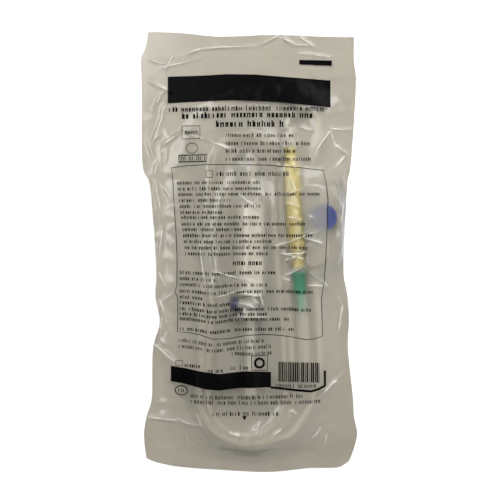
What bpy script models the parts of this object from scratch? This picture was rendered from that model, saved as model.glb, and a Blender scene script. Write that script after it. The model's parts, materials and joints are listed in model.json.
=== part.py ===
"""Gravity infusion set packed in its sealed film pouch, lying flat with its printed side up.

Units are metres and +Z is up. The pouch lies on the ground plane, its long side along Y, with
the origin under the middle of the pouch. Inside it, from left to right, lie the oval coil of
tubing with the drip chamber and its spike in the middle, the latex injection bulb with the
needle, and the roller clamp on its side.
"""

import math

import bmesh
import bpy
import numpy as np
from mathutils import Vector

OBJECT_NAME = "infusion_set"

# Pouch: two sheets of film welded together along the top and the bottom
FILM_THICKNESS = 0.00015
GAP = 0.0003
POUCH_WIDTH = 0.126
POUCH_LENGTH = 0.2564
TOP_SEAL = 0.0145
BOTTOM_SEAL = 0.0100
FILM_COLUMNS = 30
FILM_ROWS = 54
FILM_EDGE_CROWDING = 0.3
FILM_SAG = 0.00006
FILM_CLEARANCE = 0.0009
FILM_REACH = 0.6
FOLD_HEIGHT = 0.0022
FOLD_WIDTH = 0.0040

# Outline of the pouch: shares of its length from the foot up, with how far each side is pulled in
# there, and shares of its width from the left, with how far the foot and the head dip there
SIDE_STATIONS = (0.0, 0.065, 0.12, 0.17, 0.28, 0.34, 0.40, 0.47, 0.65, 0.70, 0.88, 0.94, 0.965, 1.0)
LEFT_PULL = (0.0032, 0.0018, 0.0035, 0.0064, 0.0070, 0.0110, 0.0084, 0.0088, 0.0052, 0.0009, 0.0005,
             0.0, 0.0028, 0.0041)
RIGHT_PULL = (0.0042, 0.0, 0.0018, 0.0024, 0.0053, 0.0047, 0.0055, 0.0080, 0.0058, 0.0036, 0.0006,
              0.0018, 0.0018, 0.0018)
END_STATIONS = (0.0, 0.06, 0.17, 0.35, 0.60, 0.80, 0.94, 1.0)
FOOT_DIP = (0.0080, 0.0054, 0.0029, 0.0013, 0.0, 0.0022, 0.0026, 0.0068)
HEAD_DIP = (0.0, 0.0, 0.0006, 0.0026, 0.0016, 0.0024, 0.0029, 0.0029)

# Tubing
TUBE_DIAMETER = 0.0041
TUBE_SPACING = 0.0065
COIL_LAYERS = 2
COIL_PITCH = 0.0043

# Oval coil: two round ends joined by straight runs
COIL_TOP = (-0.0023, 0.0490)
COIL_BOTTOM = (-0.0012, -0.0837)
COIL_TOP_RADIUS = 0.0218
COIL_BOTTOM_RADIUS = 0.0296

# Drip chamber, its outlet, filter and drip tube
DRIP_X = 0.0006
CHAMBER_RADIUS = 0.0085
CHAMBER_WALL = 0.0009
CHAMBER_LENGTH = 0.0500
CHAMBER_FOOT = -0.0230
SPIGOT_DEPTH = 0.0050
RIM_THICKNESS = 0.0019
OUTLET_CONE = 0.0040
OUTLET_NECK = 0.0036
OUTLET_NECK_RADIUS = 0.0034
SOCKET_DEPTH = 0.0048
FLOW_BORE = 0.0012
MESH_THICKNESS = 0.0006
DRIP_TUBE_RADIUS = 0.0016
DRIP_TUBE_BORE = 0.0009
DRIP_TUBE_LENGTH = 0.0100
DRIP_TUBE_SEAT = 0.0020

# Spike with its air vent, and the spike's cap
NECK_RADIUS = 0.0046
NECK_LENGTH = 0.0108
GUARD_HALF_WIDTH = 0.0110
GUARD_HALF_HEIGHT = 0.0082
GUARD_THICKNESS = 0.0018
SHAFT_RADIUS = 0.0029
SHAFT_TIP_RADIUS = 0.0026
SHAFT_LENGTH = 0.0380
POINT_LENGTH = 0.0060
FLUID_BORE = 0.0009
AIR_BORE = 0.0006
VENT_DROP = 0.0050
VENT_REACH = 0.0102
VENT_RADIUS = 0.0032
VENT_RECESS = 0.0015
VENT_LIP = 0.0005
VENT_DISC_THICKNESS = 0.0005
VENT_CAP_WALL = 0.0006
VENT_CAP_TOP = 0.0010
VENT_CAP_DEPTH = 0.0041
CAP_MOUTH_RADIUS = 0.0046
CAP_TIP_RADIUS = 0.0039
CAP_WALL = 0.0009
CAP_RIBS = 6
CAP_RIB_WIDTH = 0.0008
CAP_RIB_HEIGHT = 0.0006
CAP_RIB_LENGTH = 0.0120

# Latex bulb with its connectors, measured along the needle line
BULB_RADIUS = 0.0049
BULB_NECK_RADIUS = 0.0034
BULB_WALL = 0.0009
BULB_BODY = 0.0495
BULB_TOP_NECK = 0.0100
BULB_BOTTOM_NECK = 0.0105
BULB_SHOULDER = 0.0060
PLUG_DEPTH = 0.0070
COLLAR_RADIUS = 0.0040
COLLAR_LENGTH = 0.0022
INLET_SOCKET_LENGTH = 0.0065
LUER_LARGE_RADIUS = 0.0020
LUER_SMALL_RADIUS = 0.00185
LUER_LENGTH = 0.0085

# Needle
HUB_FLANGE_RADIUS = 0.0048
HUB_FLANGE_LENGTH = 0.0016
HUB_BODY_RADIUS = 0.0030
HUB_NOSE_RADIUS = 0.0021
HUB_LENGTH = 0.0230
HUB_CAVITY = 0.0110
HUB_RIBS = 4
HUB_RIB_WIDTH = 0.0009
CANNULA_RADIUS = 0.0004
CANNULA_LENGTH = 0.0380
CANNULA_SEAT = 0.0060
SHEATH_TIP_RADIUS = 0.0028
SHEATH_WALL = 0.0007
SHEATH_TIP_ROOM = 0.0020
SHEATH_OVERLAP = 0.0100

# Roller clamp, lying on its side
CLAMP_WIDTH = 0.0130
CLAMP_WALL = 0.0018
CLAMP_BACK = 0.0009
CLAMP_END_WALL = 0.0015
CLAMP_LIP = 0.0006
CLAMP_ABOVE_WHEEL = 0.0192
CLAMP_BELOW_WHEEL = 0.0278
CLAMP_DOWN = 0.0319
RAMP_RISE = 0.0010
WHEEL_RADIUS = 0.0077
WHEEL_SIDE_GAP = 0.0005
WHEEL_TEETH = 36
WHEEL_TOOTH = 0.0004
PIN_RADIUS = 0.0011
PIN_CLEARANCE = 0.00015
PIN_REACH = 0.0009
TRAVEL_UP = 0.0080
TRAVEL_DOWN = 0.0150
TUBE_PINCH = 0.0021
GRIP_GROOVES = 7
GRIP_PITCH = 0.0021
GRIP_DEPTH = 0.0005

# Worked out from the sizes above
TUBE_RADIUS = TUBE_DIAMETER / 2
FLOOR = FILM_THICKNESS + GAP
COIL_HEIGHT = TUBE_DIAMETER + (COIL_LAYERS - 1) * COIL_PITCH + 2 * (COIL_PITCH - TUBE_DIAMETER)
DRIP_Z = FLOOR + CHAMBER_RADIUS
CHAMBER_HEAD = CHAMBER_FOOT + CHAMBER_LENGTH
SPIGOT_RADIUS = CHAMBER_RADIUS - CHAMBER_WALL - GAP
SOCKET_BORE = TUBE_RADIUS + GAP
OUTLET_FACE = CHAMBER_HEAD + GAP + RIM_THICKNESS + OUTLET_CONE + OUTLET_NECK
SPIKE_RIM_TOP = CHAMBER_FOOT - GAP
SPIKE_RIM_FOOT = SPIKE_RIM_TOP - RIM_THICKNESS
GUARD_TOP = SPIKE_RIM_FOOT - NECK_LENGTH
SHAFT_TOP = GUARD_TOP - GUARD_THICKNESS
SHAFT_FOOT = SHAFT_TOP - SHAFT_LENGTH
SPIKE_POINT = SHAFT_FOOT - POINT_LENGTH
VENT_Y = SPIKE_RIM_FOOT - VENT_DROP
NEEDLE_Z = FLOOR + BULB_RADIUS
CLAMP_DEPTH = WHEEL_RADIUS + TUBE_PINCH + 2 * GAP + CLAMP_BACK
CLAMP_Z = FLOOR + CLAMP_WIDTH / 2
WHEEL_WIDTH = CLAMP_WIDTH - 2 * (CLAMP_WALL + WHEEL_SIDE_GAP)
SLOT_HALF_WIDTH = PIN_RADIUS + PIN_CLEARANCE
CLAMP_EDGE = SLOT_HALF_WIDTH + CLAMP_LIP
SHEATH_BORE = HUB_BODY_RADIUS + GAP
SHEATH_RADIUS = SHEATH_BORE + SHEATH_WALL
FILM_LIFT = FLOOR


def coil_side():
    """Outward normal of the coil's right-hand straight side, with the angles of both sides."""
    top, bottom = Vector(COIL_TOP), Vector(COIL_BOTTOM)
    down = bottom - top
    lean = math.asin((COIL_BOTTOM_RADIUS - COIL_TOP_RADIUS) / down.length)
    heading = math.atan2(down.y, down.x)
    right = heading + math.pi / 2 + lean
    left = heading - math.pi / 2 - lean + 2 * math.pi
    return Vector((math.cos(right), math.sin(right))), right, left


SIDE_NORMAL, SIDE_ANGLE, FAR_SIDE_ANGLE = coil_side()
NEEDLE_REF = Vector(COIL_TOP) + SIDE_NORMAL * (COIL_TOP_RADIUS + GAP + BULB_RADIUS)
SIDE_UP = Vector((-SIDE_NORMAL.y, SIDE_NORMAL.x))
CLAMP_REF = NEEDLE_REF + SIDE_NORMAL * (BULB_RADIUS + GAP + CLAMP_DEPTH) - SIDE_UP * CLAMP_DOWN

# Route of the tubing between the pieces, by eye from the way it lies in the pouch
LEAD_ROUTE = [(0.0012, 0.0430, 0.0085), (0.0030, 0.0502, 0.0076), (0.0012, 0.0568, 0.0069),
              (-0.0042, 0.0590, 0.0066), (-0.0098, 0.0560, 0.0066), (-0.0124, 0.0490, 0.0066),
              (-0.0128, 0.0400, 0.0066), (-0.0132, 0.0310, 0.0066)]
TAIL_ROUTE = [(0.0215, -0.1065, 0.0070), (0.0292, -0.0990, 0.0064), (0.0362, -0.0870, 0.0056),
              (0.0400, -0.0740, 0.0050), (0.0415, -0.0600, 0.0050), (0.0412, -0.0450, 0.0056),
              (0.0400, -0.0300, 0.0064)]
LOOP_ROUTE = [(0.0358, 0.0500, 0.0066), (0.0395, 0.0590, 0.0060), (0.0410, 0.0690, 0.0056),
              (0.0390, 0.0785, 0.0054), (0.0325, 0.0840, 0.0053), (0.0255, 0.0815, 0.0053)]

# Main folds of the front film: start, end and share of the full fold height
FOLDS = [((-0.0357, 0.1156), (-0.0110, 0.1200), 0.8), ((0.0192, 0.1253), (0.0344, 0.1207), 0.6),
         ((0.0472, 0.0702), (0.0371, 0.0567), 1.0), ((0.0472, 0.0702), (0.0583, 0.0567), 1.0),
         ((-0.0513, 0.0618), (-0.0396, 0.0700), 0.8), ((-0.0367, 0.0694), (-0.0105, 0.0592), 0.8),
         ((0.0152, 0.0035), (0.0420, 0.0125), 0.7), ((0.0192, -0.0146), (0.0344, -0.0067), 1.0),
         ((-0.0192, -0.0262), (0.0052, -0.0192), 0.9), ((0.0012, -0.0268), (0.0085, -0.0305), 0.8),
         ((-0.0548, 0.0420), (-0.0490, -0.0047), 0.6), ((-0.0589, -0.0965), (-0.0262, -0.1014), 1.0),
         ((-0.0303, -0.0950), (-0.0274, -0.1006), 0.7), ((0.0233, -0.0915), (0.0292, -0.0939), 0.7)]


def clear_scene():
    """Remove every object, so that the model starts from nothing."""
    for existing in list(bpy.data.objects):
        bpy.data.objects.remove(existing, do_unlink=True)


def new_collection(name):
    """A collection linked to the scene."""
    collection = bpy.data.collections.new(name)
    bpy.context.scene.collection.children.link(collection)
    return collection


clear_scene()
PARTS = new_collection(OBJECT_NAME)
CUTTERS = new_collection("cutters")


def finish(name, colour, roughness, alpha=1.0, metallic=0.0):
    """A Principled material with the part's colour, gloss and clearness."""
    material = bpy.data.materials.new(name)
    material.use_nodes = True
    shader = material.node_tree.nodes["Principled BSDF"]
    shader.inputs["Base Color"].default_value = (*colour, 1.0)
    shader.inputs["Roughness"].default_value = roughness
    shader.inputs["Metallic"].default_value = metallic
    shader.inputs["Alpha"].default_value = alpha
    return material


FILM = finish("hazy_film", (0.62, 0.60, 0.55), 0.35, alpha=0.5)
CLEAR = finish("clear_plastic", (0.80, 0.82, 0.82), 0.15, alpha=0.5)
PALE = finish("white_plastic", (0.85, 0.85, 0.83), 0.40)
MILKY = finish("milky_plastic", (0.75, 0.75, 0.72), 0.40, alpha=0.7)
BLUE = finish("blue_plastic", (0.02, 0.08, 0.40), 0.35)
VIOLET = finish("violet_blue_plastic", (0.10, 0.12, 0.45), 0.35)
GREEN = finish("green_plastic", (0.02, 0.35, 0.20), 0.35)
LATEX = finish("latex", (0.62, 0.38, 0.02), 0.45)
STEEL = finish("steel", (0.60, 0.60, 0.62), 0.25, metallic=1.0)
VINYL = finish("soft_vinyl", (0.72, 0.75, 0.76), 0.20, alpha=0.6)


def line_empty(name, location, turn):
    """An empty that carries pieces on one axis."""
    empty = bpy.data.objects.new(name, None)
    empty.location = location
    empty.rotation_euler = turn
    PARTS.objects.link(empty)
    return empty


DRIP_LINE = line_empty("drip_line", (DRIP_X, 0, DRIP_Z), (-math.pi / 2, 0, 0))
NEEDLE_LINE = line_empty("needle_line", (*NEEDLE_REF, NEEDLE_Z), (-math.pi / 2, 0, SIDE_ANGLE))
CLAMP_FRAME = line_empty("clamp_frame", (*CLAMP_REF, CLAMP_Z), (0, 0, SIDE_ANGLE))


def add_object(name, mesh, parent, material, collection=PARTS):
    """Place a mesh as a named object under its carrying empty."""
    piece = bpy.data.objects.new(name, mesh)
    collection.objects.link(piece)
    piece.parent = parent
    if material:
        mesh.materials.append(material)
    if collection is CUTTERS:
        piece.hide_render = True
        piece.display_type = "WIRE"
    return piece


def turned(name, profile, parent, material, steps=28, collection=PARTS):
    """Turn a profile of (radius, height) points about the parent's Z axis."""
    mesh = bpy.data.meshes.new(name)
    outline = bmesh.new()
    corners = [outline.verts.new((radius, 0, height)) for radius, height in profile]
    for first, second in zip(corners, corners[1:]):
        outline.edges.new((first, second))
    if profile[0][0] > 0:
        outline.edges.new((corners[-1], corners[0]))
    outline.to_mesh(mesh)
    outline.free()
    piece = add_object(name, mesh, parent, material, collection)
    screw = piece.modifiers.new("turn", "SCREW")
    screw.axis = "Z"
    screw.steps = steps
    screw.render_steps = steps
    screw.use_merge_vertices = True
    screw.merge_threshold = 0.00001
    screw.use_smooth_shade = False
    return piece


def tube_profile(outer, inner, foot, head):
    """Closed profile of a straight tube, down its outside and up its bore."""
    return [(outer, head), (outer, foot), (inner, foot), (inner, head)]


def boolean(piece, tool, operation):
    """Cut with, or join on, another object."""
    modifier = piece.modifiers.new(operation.lower(), "BOOLEAN")
    modifier.operation = operation
    modifier.object = tool
    modifier.solver = "EXACT"


def rod(name, radius, length, location, turn, parent, steps=20):
    """A cylinder among the cutters, centred at a place in its parent's frame."""
    mesh = bpy.data.meshes.new(name)
    body = bmesh.new()
    bmesh.ops.create_cone(body, cap_ends=True, segments=steps, radius1=radius, radius2=radius,
                          depth=length)
    body.to_mesh(mesh)
    body.free()
    piece = add_object(name, mesh, parent, None, CUTTERS)
    piece.location = location
    piece.rotation_euler = turn
    return piece


def block(name, size, location, turn, parent):
    """A box among the cutters, centred at a place in its parent's frame."""
    mesh = bpy.data.meshes.new(name)
    body = bmesh.new()
    bmesh.ops.create_cube(body, size=1.0)
    bmesh.ops.scale(body, vec=size, verts=body.verts)
    body.to_mesh(mesh)
    body.free()
    piece = add_object(name, mesh, parent, None, CUTTERS)
    piece.location = location
    piece.rotation_euler = turn
    return piece


def curve_to_mesh(name, curve, parent, material, collection=PARTS):
    """Turn a curve into a closed mesh object and drop the curve."""
    guide = bpy.data.objects.new(name + "_curve", curve)
    CUTTERS.objects.link(guide)
    evaluated = guide.evaluated_get(bpy.context.evaluated_depsgraph_get())
    mesh = bpy.data.meshes.new_from_object(evaluated)
    mesh.name = name
    mesh.materials.clear()
    bpy.data.objects.remove(guide, do_unlink=True)
    shell = bmesh.new()
    shell.from_mesh(mesh)
    bmesh.ops.remove_doubles(shell, verts=shell.verts, dist=0.000002)
    shell.to_mesh(mesh)
    shell.free()
    return add_object(name, mesh, parent, material, collection)


def plate(name, outlines, thickness, parent, material, collection=PARTS):
    """A flat outline, with holes, given a thickness about its own plane."""
    curve = bpy.data.curves.new(name, "CURVE")
    curve.dimensions = "2D"
    curve.fill_mode = "BOTH"
    curve.extrude = thickness / 2
    for outline in outlines:
        spline = curve.splines.new("POLY")
        spline.points.add(len(outline) - 1)
        for point, (across, along) in zip(spline.points, outline):
            point.co = (across, along, 0, 1)
        spline.use_cyclic_u = True
    return curve_to_mesh(name, curve, parent, material, collection)


def smooth_route(points, spacing):
    """Points at an even spacing on a smooth curve through the route's own points."""
    route = np.array(points, dtype=float)
    padded = np.vstack([2 * route[0] - route[1], route, 2 * route[-1] - route[-2]])
    share = np.linspace(0, 1, 24, endpoint=False)[:, None]
    pieces = []
    for before, start, end, after in zip(padded, padded[1:], padded[2:], padded[3:]):
        pieces.append(0.5 * (2 * start + (end - before) * share
                             + (2 * before - 5 * start + 4 * end - after) * share ** 2
                             + (3 * start - before - 3 * end + after) * share ** 3))
    dense = np.vstack(pieces + [route[-1:]])
    steps = np.linalg.norm(np.diff(dense, axis=0), axis=1)
    reach = np.concatenate([[0], np.cumsum(steps)])
    count = max(2, int(round(reach[-1] / spacing)) + 1)
    wanted = np.linspace(0, reach[-1], count)
    return np.column_stack([np.interp(wanted, reach, dense[:, axis]) for axis in range(3)])


def tube(name, points):
    """A round tube along smooth route points, with closed ends."""
    curve = bpy.data.curves.new(name, "CURVE")
    curve.dimensions = "3D"
    curve.bevel_depth = TUBE_RADIUS
    curve.bevel_resolution = 2
    curve.use_fill_caps = True
    spline = curve.splines.new("POLY")
    route = smooth_route(points, TUBE_SPACING)
    spline.points.add(len(route) - 1)
    for point, place in zip(spline.points, route):
        point.co = (*place, 1)
    curve_to_mesh(name, curve, None, VINYL)
    return route


def oval(inset, steps=16):
    """Outline of the coil, a distance inside its outer edge."""
    outline = []
    for centre, radius, first, last in (
            (COIL_TOP, COIL_TOP_RADIUS, SIDE_ANGLE, FAR_SIDE_ANGLE),
            (COIL_BOTTOM, COIL_BOTTOM_RADIUS, FAR_SIDE_ANGLE, SIDE_ANGLE + 2 * math.pi)):
        for angle in np.linspace(first, last, steps):
            outline.append((centre[0] + (radius - inset) * math.cos(angle),
                            centre[1] + (radius - inset) * math.sin(angle)))
    return outline


def clamp_point(across, along, height=0.0):
    """A place in the clamp's own frame as a world position."""
    place = CLAMP_REF + SIDE_NORMAL * across + SIDE_UP * along
    return (place.x, place.y, CLAMP_Z + height)


def needle_point(along):
    """A place on the needle line's axis as a world position."""
    place = NEEDLE_REF + SIDE_UP * along
    return (place.x, place.y, NEEDLE_Z)


# Pouch films

def edge_curve(stations, places, wanted):
    """Smooth values of an edge between a few stations along the pouch."""
    fine = smooth_route([(station, place, 0) for station, place in zip(stations, places)], 0.002)
    order = np.argsort(fine[:, 0])
    return np.interp(wanted, fine[order, 0], fine[order, 1])


def film_outline(across, along):
    """World X and Y of the film at shares 0 to 1 across and along the pouch."""
    half = POUCH_WIDTH / 2
    height = (along - 0.5) * POUCH_LENGTH
    stations = (np.array(SIDE_STATIONS) - 0.5) * POUCH_LENGTH
    left = -half + edge_curve(stations, LEFT_PULL, height)
    right = half - edge_curve(stations, RIGHT_PULL, height)
    rise = (edge_curve(END_STATIONS, FOOT_DIP, across) * np.clip(1 - along * 6, 0, 1)
            - edge_curve(END_STATIONS, HEAD_DIP, across) * np.clip(along * 6 - 5, 0, 1))
    return left + (right - left) * across, height + rise


def film_grid(name, columns, rows, material):
    """A flat grid in the pouch's outline, as a mesh object and its X and Y arrays."""
    mesh = bpy.data.meshes.new(name)
    sheet = bmesh.new()
    bmesh.ops.create_grid(sheet, x_segments=columns, y_segments=rows, size=0.5)
    places = np.array([vertex.co[:] for vertex in sheet.verts]) + 0.5
    crowding = FILM_EDGE_CROWDING * np.sin(2 * math.pi * places[:, 0]) / (2 * math.pi)
    x, y = film_outline(places[:, 0] - crowding, places[:, 1])
    for vertex, across, along in zip(sheet.verts, x, y):
        vertex.co = (across, along, 0)
    sheet.to_mesh(mesh)
    sheet.free()
    piece = add_object(name, mesh, None, material)
    wall = piece.modifiers.new("film", "SOLIDIFY")
    wall.thickness = FILM_THICKNESS
    wall.offset = 1
    return piece, x, y, places


def bar_top(x, y, points, radius):
    """Height of the top of round bars lying along a route, at each place."""
    height = np.zeros_like(x)
    for start, end in zip(points, points[1:]):
        along = np.array(end[:2]) - np.array(start[:2])
        share = ((x - start[0]) * along[0] + (y - start[1]) * along[1]) / max(along @ along, 1e-12)
        share = np.clip(share, 0, 1)
        gap = np.hypot(x - start[0] - share * along[0], y - start[1] - share * along[1])
        level = start[2] + share * (end[2] - start[2])
        crown = level + np.sqrt(np.clip(radius ** 2 - gap ** 2, 0, None))
        height = np.maximum(height, np.where(gap < radius, crown, 0))
    return height


def coil_top(x, y):
    """Height of the coil, at each place on its ring."""
    side = np.linspace(0, 1, 30)
    inside = np.zeros_like(x)
    for share in side:
        centre = np.array(COIL_TOP) * (1 - share) + np.array(COIL_BOTTOM) * share
        radius = COIL_TOP_RADIUS * (1 - share) + COIL_BOTTOM_RADIUS * share
        inside = np.maximum(inside, radius - np.hypot(x - centre[0], y - centre[1]))
    return np.where((inside > 0) & (inside < COIL_HEIGHT), FLOOR + COIL_HEIGHT, 0)


def contents_top(x, y, routes):
    """Height of the pieces in the pouch, at each place."""
    drip = [(DRIP_X, height, DRIP_Z) for height in (SPIKE_POINT - 0.004, CHAMBER_HEAD, OUTLET_FACE)]
    parts = [coil_top(x, y),
             bar_top(x, y, [drip[0], (DRIP_X, SHAFT_TOP, DRIP_Z)], CAP_MOUTH_RADIUS + CAP_RIB_HEIGHT),
             bar_top(x, y, [(DRIP_X, GUARD_TOP, DRIP_Z), (DRIP_X, SHAFT_TOP, DRIP_Z)],
                     GUARD_HALF_HEIGHT),
             bar_top(x, y, [(DRIP_X, SPIKE_RIM_FOOT, DRIP_Z), (DRIP_X, CHAMBER_HEAD, DRIP_Z)],
                     CHAMBER_RADIUS),
             bar_top(x, y, [(DRIP_X, CHAMBER_HEAD, DRIP_Z), (DRIP_X, OUTLET_FACE, DRIP_Z)],
                     OUTLET_NECK_RADIUS),
             bar_top(x, y, [(DRIP_X, VENT_Y, DRIP_Z), (DRIP_X - VENT_REACH - VENT_CAP_TOP, VENT_Y,
                                                       DRIP_Z)], VENT_RADIUS + VENT_CAP_WALL),
             bar_top(x, y, [needle_point(0), needle_point(-BULB_BODY - BULB_BOTTOM_NECK)],
                     BULB_RADIUS),
             bar_top(x, y, [needle_point(BULB_TOP_NECK + INLET_SOCKET_LENGTH), needle_point(0)],
                     COLLAR_RADIUS),
             bar_top(x, y, [needle_point(HUB_TOP), needle_point(HUB_TOP - HUB_LENGTH)],
                     HUB_FLANGE_RADIUS),
             bar_top(x, y, [needle_point(SHEATH_MOUTH), needle_point(SHEATH_TIP)], SHEATH_RADIUS)]
    across = (x - CLAMP_REF.x) * SIDE_NORMAL.x + (y - CLAMP_REF.y) * SIDE_NORMAL.y
    along = (x - CLAMP_REF.x) * SIDE_UP.x + (y - CLAMP_REF.y) * SIDE_UP.y
    in_clamp = ((across > -CLAMP_DEPTH) & (across < CLAMP_EDGE)
                & (along > -CLAMP_BELOW_WHEEL) & (along < CLAMP_ABOVE_WHEEL))
    parts.append(np.where(in_clamp, FLOOR + CLAMP_WIDTH, 0))
    off_track = np.maximum(np.maximum(along - TRAVEL_UP, -TRAVEL_DOWN - along), 0)
    over_wheel = np.hypot(across, off_track) < WHEEL_RADIUS
    parts.append(np.where(over_wheel, CLAMP_Z + WHEEL_WIDTH / 2, 0))
    for route in routes:
        parts.append(bar_top(x, y, [tuple(point) for point in route], TUBE_RADIUS))
    return np.maximum.reduce(parts)


def folds(x, y):
    """Height of the main folds in the front film, ridges that fade out at their ends."""
    height = np.zeros_like(x)
    for start, end, strength in FOLDS:
        along = np.array(end) - np.array(start)
        share = np.clip(((x - start[0]) * along[0] + (y - start[1]) * along[1]) / (along @ along), 0, 1)
        gap = np.hypot(x - start[0] - share * along[0], y - start[1] - share * along[1])
        height += FOLD_HEIGHT * strength * np.exp(-(gap / (FOLD_WIDTH / 2)) ** 2)
    return height


def make_pouch(routes):
    """The flat back film, and the front film draped over the contents."""
    film_grid("pouch_back_film", FILM_COLUMNS // 2, FILM_ROWS // 2, FILM)
    front, x, y, places = film_grid("pouch_front_film", FILM_COLUMNS, FILM_ROWS, FILM)
    column = np.round(places[:, 0] * FILM_COLUMNS).astype(int)
    row = np.round(places[:, 1] * FILM_ROWS).astype(int)
    cell_x = POUCH_WIDTH / FILM_COLUMNS * (1 + FILM_EDGE_CROWDING)
    cell_y = POUCH_LENGTH / FILM_ROWS
    needed = np.zeros_like(x)
    for step_x in np.linspace(-FILM_REACH, FILM_REACH, 7):
        for step_y in np.linspace(-FILM_REACH, FILM_REACH, 7):
            needed = np.maximum(needed, contents_top(x + step_x * cell_x, y + step_y * cell_y, routes))
    needed = np.where(needed > 0, needed + FILM_CLEARANCE, FILM_LIFT)
    field = np.full((FILM_COLUMNS + 1, FILM_ROWS + 1), FILM_LIFT)
    floor_field = field.copy()
    floor_field[column, row] = needed
    sealed = np.zeros_like(field, dtype=bool)
    welded = (y > POUCH_LENGTH / 2 - TOP_SEAL) | (y < BOTTOM_SEAL - POUCH_LENGTH / 2)
    sealed[column, row] = welded
    sealed[[0, -1], :] = True
    for _ in range(500):
        middle = field.copy()
        middle[1:-1, 1:-1] = (field[:-2, 1:-1] + field[2:, 1:-1]
                              + field[1:-1, :-2] + field[1:-1, 2:]) / 4 - FILM_SAG
        field = np.where(sealed, FILM_LIFT, np.maximum(middle, floor_field))
    ridge = folds(x, y) * np.clip((field[column, row] - FILM_LIFT) / FOLD_HEIGHT, 0.25, 1)
    edge = (column == 0) | (column == FILM_COLUMNS) | (row == 0) | (row == FILM_ROWS)
    lift = field[column, row] + np.where(edge, 0, ridge)
    for vertex, height in zip(front.data.vertices, lift):
        vertex.co.z = height


# Drip chamber and spike

def make_chamber():
    """The clear chamber, its outlet, the filter and the drip tube inside it."""
    turned("drip_chamber", tube_profile(CHAMBER_RADIUS, CHAMBER_RADIUS - CHAMBER_WALL,
                                        CHAMBER_FOOT, CHAMBER_HEAD), DRIP_LINE, CLEAR)
    rim = CHAMBER_HEAD + GAP
    cone = rim + RIM_THICKNESS
    neck = cone + OUTLET_CONE
    seat = OUTLET_FACE - SOCKET_DEPTH
    spigot = CHAMBER_HEAD - SPIGOT_DEPTH
    turned("chamber_outlet", [(OUTLET_NECK_RADIUS, OUTLET_FACE), (OUTLET_NECK_RADIUS, neck),
                              (CHAMBER_RADIUS, cone), (CHAMBER_RADIUS, rim), (SPIGOT_RADIUS, rim),
                              (SPIGOT_RADIUS, spigot), (SPIGOT_RADIUS - CHAMBER_WALL, spigot),
                              (FLOW_BORE, cone - RIM_THICKNESS / 2), (FLOW_BORE, seat),
                              (SOCKET_BORE, seat), (SOCKET_BORE, OUTLET_FACE)],
           DRIP_LINE, CLEAR)
    turned("filter_mesh", [(0, spigot - GAP), (SPIGOT_RADIUS, spigot - GAP),
                           (SPIGOT_RADIUS, spigot - GAP - MESH_THICKNESS),
                           (0, spigot - GAP - MESH_THICKNESS)], DRIP_LINE, PALE)
    foot = CHAMBER_FOOT + SPIGOT_DEPTH - DRIP_TUBE_SEAT + GAP
    turned("drip_tube", tube_profile(DRIP_TUBE_RADIUS, DRIP_TUBE_BORE, foot,
                                     foot + DRIP_TUBE_LENGTH), DRIP_LINE, CLEAR, steps=16)


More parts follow.
